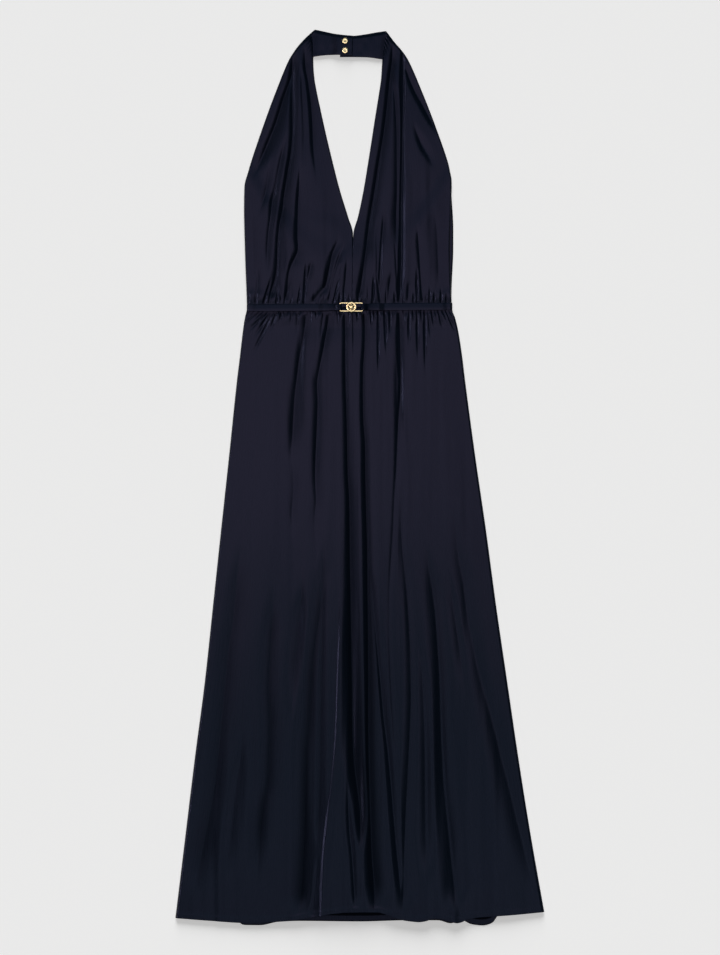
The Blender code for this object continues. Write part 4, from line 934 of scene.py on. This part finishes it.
def makeBelt():
    # A flat tube of satin: a ring of points carried along the path
    path, along = densePath(beltPath(), beltSize["step"])
    tangents = np.gradient(path, axis=0)
    tangents /= np.linalg.norm(tangents, axis=1)[:, None]
    normals = np.stack([-tangents[:, 1], tangents[:, 0]], axis=1)
    sides = beltSize["sides"]
    clearSelection()
    bpy.ops.mesh.primitive_cylinder_add(vertices=sides, end_fill_type="NOTHING")
    obj = bpy.context.object
    obj.name = "belt_strap"
    turns = np.arange(sides) / sides * 2.0 * math.pi
    flat = np.sign(np.cos(turns)) * np.abs(np.cos(turns)) ** 0.35
    thick = np.sign(np.sin(turns)) * np.abs(np.sin(turns)) ** 0.6
    reach = np.abs(path[:, 0] - buckleSize["x"]) - buckleSize["length"] / 2
    narrowed = (path[:, 1] > beltLevels()[2] - 0.05) * (1.0 - smoothStep(6.0, 26.0, reach))
    halfWidth = beltSize["width"] / 2 - narrowed * (beltSize["width"] - beltSize["endWidth"]) / 2
    onFront = smoothStep(4.5, 6.0, path[:, 1])
    points, faces = [], []
    for i in range(len(path)):
        across = flat * halfWidth[i]
        puff = 1.0 - 0.45 * flat**2 * onFront[i]
        ripple = 0.10 * softNoise(np.full(sides, along[i]), across, 7.0, 5.0, 51) * onFront[i]
        offset = thick * beltThickness / 2 * puff + ripple * (thick > 0.5)
        offset = offset + 0.15 * np.minimum(across, 3.0) * onFront[i]
        x = path[i, 0] + normals[i, 0] * offset
        z = path[i, 1] + normals[i, 1] * offset
        height = beltHeight + beltTilt * x + across
        points += list(np.stack([x, height - dressLength / 2, z], axis=1) * mm)
    for i in range(len(path) - 1):
        for j in range(sides):
            k = (j + 1) % sides
            faces.append((i * sides + j, i * sides + k, (i + 1) * sides + k, (i + 1) * sides + j))
    mesh = bpy.data.meshes.new("belt_strap")
    mesh.from_pydata([tuple(p) for p in points], [], faces)
    # Painted shade beside the buckle, where the cloth is tucked under
    paintedShade = 0.45 * onFront * (1.0 - smoothStep(4.0, 34.0, reach))
    mesh.attributes.new("paintedShade", "FLOAT", "POINT").data.foreach_set("value", np.repeat(paintedShade, sides))
    old = obj.data
    obj.data = mesh
    bpy.data.meshes.remove(old)
    obj.location = (0.0, 0.0, 0.0)
    layer = mesh.uv_layers.new(name="cut")
    loops = np.empty(len(mesh.loops), int)
    mesh.loops.foreach_get("vertex_index", loops)
    ring, place = loops // sides, loops % sides
    layer.data.foreach_set("uv", np.stack([turns[place] * 0.002, along[ring] * mm], axis=1).ravel())
    selectOnly(obj)
    setMode("EDIT")
    bpy.ops.mesh.select_all(action="SELECT")
    bpy.ops.mesh.normals_make_consistent(inside=False)
    setMode("OBJECT")
    mesh.shade_smooth()
    addThickness(obj, beltSize["wall"])
    mesh.materials.append(satin)
    dressPiece(obj, "belt")


makeBelt()

print("Buckle and press studs")


medallionSize = {"ring": 1.7, "boss": 3.3, "lift": 1.1, "spokes": 6, "spokeRadius": 1.3, "spokeLength": 3.4,
                 "spokePlace": 4.2}
# The steps go inwards over the rounded rim and down into the hole: how far in, and how far up
studSize = {"x": -24.7, "radius": 5.0, "depth": 1.1,
            "steps": ((0.8, 0.35), (1.1, 0.1), (1.2, -0.1), (0.7, -0.15), (0.15, -0.9), (0.3, 0.0))}


def finishMetal(obj, name, node):
    selectOnly(obj)
    bpy.ops.object.transform_apply(location=True, rotation=True, scale=True)
    obj.name = obj.data.name = name
    obj.data.materials.clear()
    obj.data.materials.append(gold)
    obj.data.shade_smooth()
    dressPiece(obj, node)


def joinPieces(pieces):
    clearSelection()
    for piece in pieces:
        piece.select_set(True)
    bpy.context.view_layer.objects.active = pieces[0]
    bpy.ops.object.join()
    return bpy.context.object


def makeBuckle():
    bar = beltLevels()[-1]
    height = beltHeight + beltTilt * buckleSize["x"]
    centre = (buckleSize["x"] * mm, (height - dressLength / 2) * mm, bar * mm)
    # Wire frame: a rectangle with rounded corners, given the section of a flattened wire
    clearSelection()
    bpy.ops.mesh.primitive_plane_add(size=1.0, location=centre)
    rim = bpy.context.object
    rim.scale = (buckleSize["length"] * mm, buckleSize["depth"] * mm, 1.0)
    bpy.ops.object.transform_apply(location=False, rotation=False, scale=True)
    setMode("EDIT")
    bpy.ops.mesh.select_all(action="SELECT")
    bpy.ops.mesh.bevel(offset=buckleSize["corner"] * mm, segments=6, affect="VERTICES")
    bpy.ops.mesh.delete(type="ONLY_FACE")
    setMode("OBJECT")
    bpy.ops.object.convert(target="CURVE")
    rim = bpy.context.object
    rim.data.bevel_depth = 0.44 * buckleSize["wire"] * mm
    rim.data.bevel_resolution = 6
    bpy.ops.object.convert(target="MESH")
    bpy.context.object.scale = (1.0, 1.0, 0.38)
    finishMetal(bpy.context.object, "buckle_wire_frame", "buckle_frame")
    # Medallion: a plain ring round a domed boss, held by spokes
    base = bar + buckleSize["wire"] / 2 + seamGap
    radius = buckleSize["medallion"] / 2
    size = medallionSize
    spot = (centre[0], centre[1], (base + size["lift"]) * mm)
    clearSelection()
    bpy.ops.mesh.primitive_torus_add(location=spot, major_radius=(radius - size["ring"]) * mm,
                                     minor_radius=size["ring"] * mm, major_segments=64, minor_segments=20)
    bpy.context.object.scale = (1.0, 1.0, 0.55)
    pieces = [bpy.context.object]
    bpy.ops.mesh.primitive_uv_sphere_add(segments=32, ring_count=16, radius=size["boss"] * mm, location=spot)
    bpy.context.object.scale = (1.0, 1.0, 0.40)
    pieces.append(bpy.context.object)
    away = size["spokePlace"] * mm
    for i in range(size["spokes"]):
        angle = math.radians(360.0 / size["spokes"] * i + 30.0)
        place = (spot[0] + away * math.cos(angle), spot[1] + away * math.sin(angle), spot[2])
        bpy.ops.mesh.primitive_cylinder_add(vertices=16, radius=size["spokeRadius"] * mm,
                                            depth=size["spokeLength"] * mm, location=place,
                                            rotation=(0.0, math.pi / 2, angle))
        bpy.context.object.scale = (0.7, 1.0, 1.0)
        pieces.append(bpy.context.object)
    finishMetal(joinPieces(pieces), "buckle_spoked_medallion", "buckle_medallion")


def makeStud(node, height):
    # Cap of a press stud: a broad rounded ring with a small deep hole
    bandTop = 2 * bandSize["thickness"] + seamGap + bandSize["lift"]
    clearSelection()
    place = (studSize["x"] * mm, (height - dressLength / 2) * mm,
             (bandTop + seamGap + studSize["depth"] / 2) * mm)
    bpy.ops.mesh.primitive_cylinder_add(vertices=48, radius=studSize["radius"] * mm,
                                        depth=studSize["depth"] * mm, location=place)
    cap = bpy.context.object
    bpy.ops.object.transform_apply(location=True, rotation=False, scale=False)
    setMode("EDIT")
    bpy.ops.mesh.select_all(action="DESELECT")
    setMode("OBJECT")
    top = max(cap.data.polygons, key=lambda face: face.center.z if len(face.vertices) > 4 else -1.0)
    top.select = True
    setMode("EDIT")
    for inset, rise in studSize["steps"]:
        bpy.ops.mesh.inset(thickness=inset * mm)
        bpy.ops.transform.translate(value=(0.0, 0.0, rise * mm))
    setMode("OBJECT")
    smooth = cap.modifiers.new("rounding", "SUBSURF")
    smooth.levels = smooth.render_levels = 2
    applyModifiers(cap)
    finishMetal(cap, node + "_cap", node)


makeBuckle()
makeStud("snap_upper", 1458.4)
makeStud("snap_lower", 1442.6)
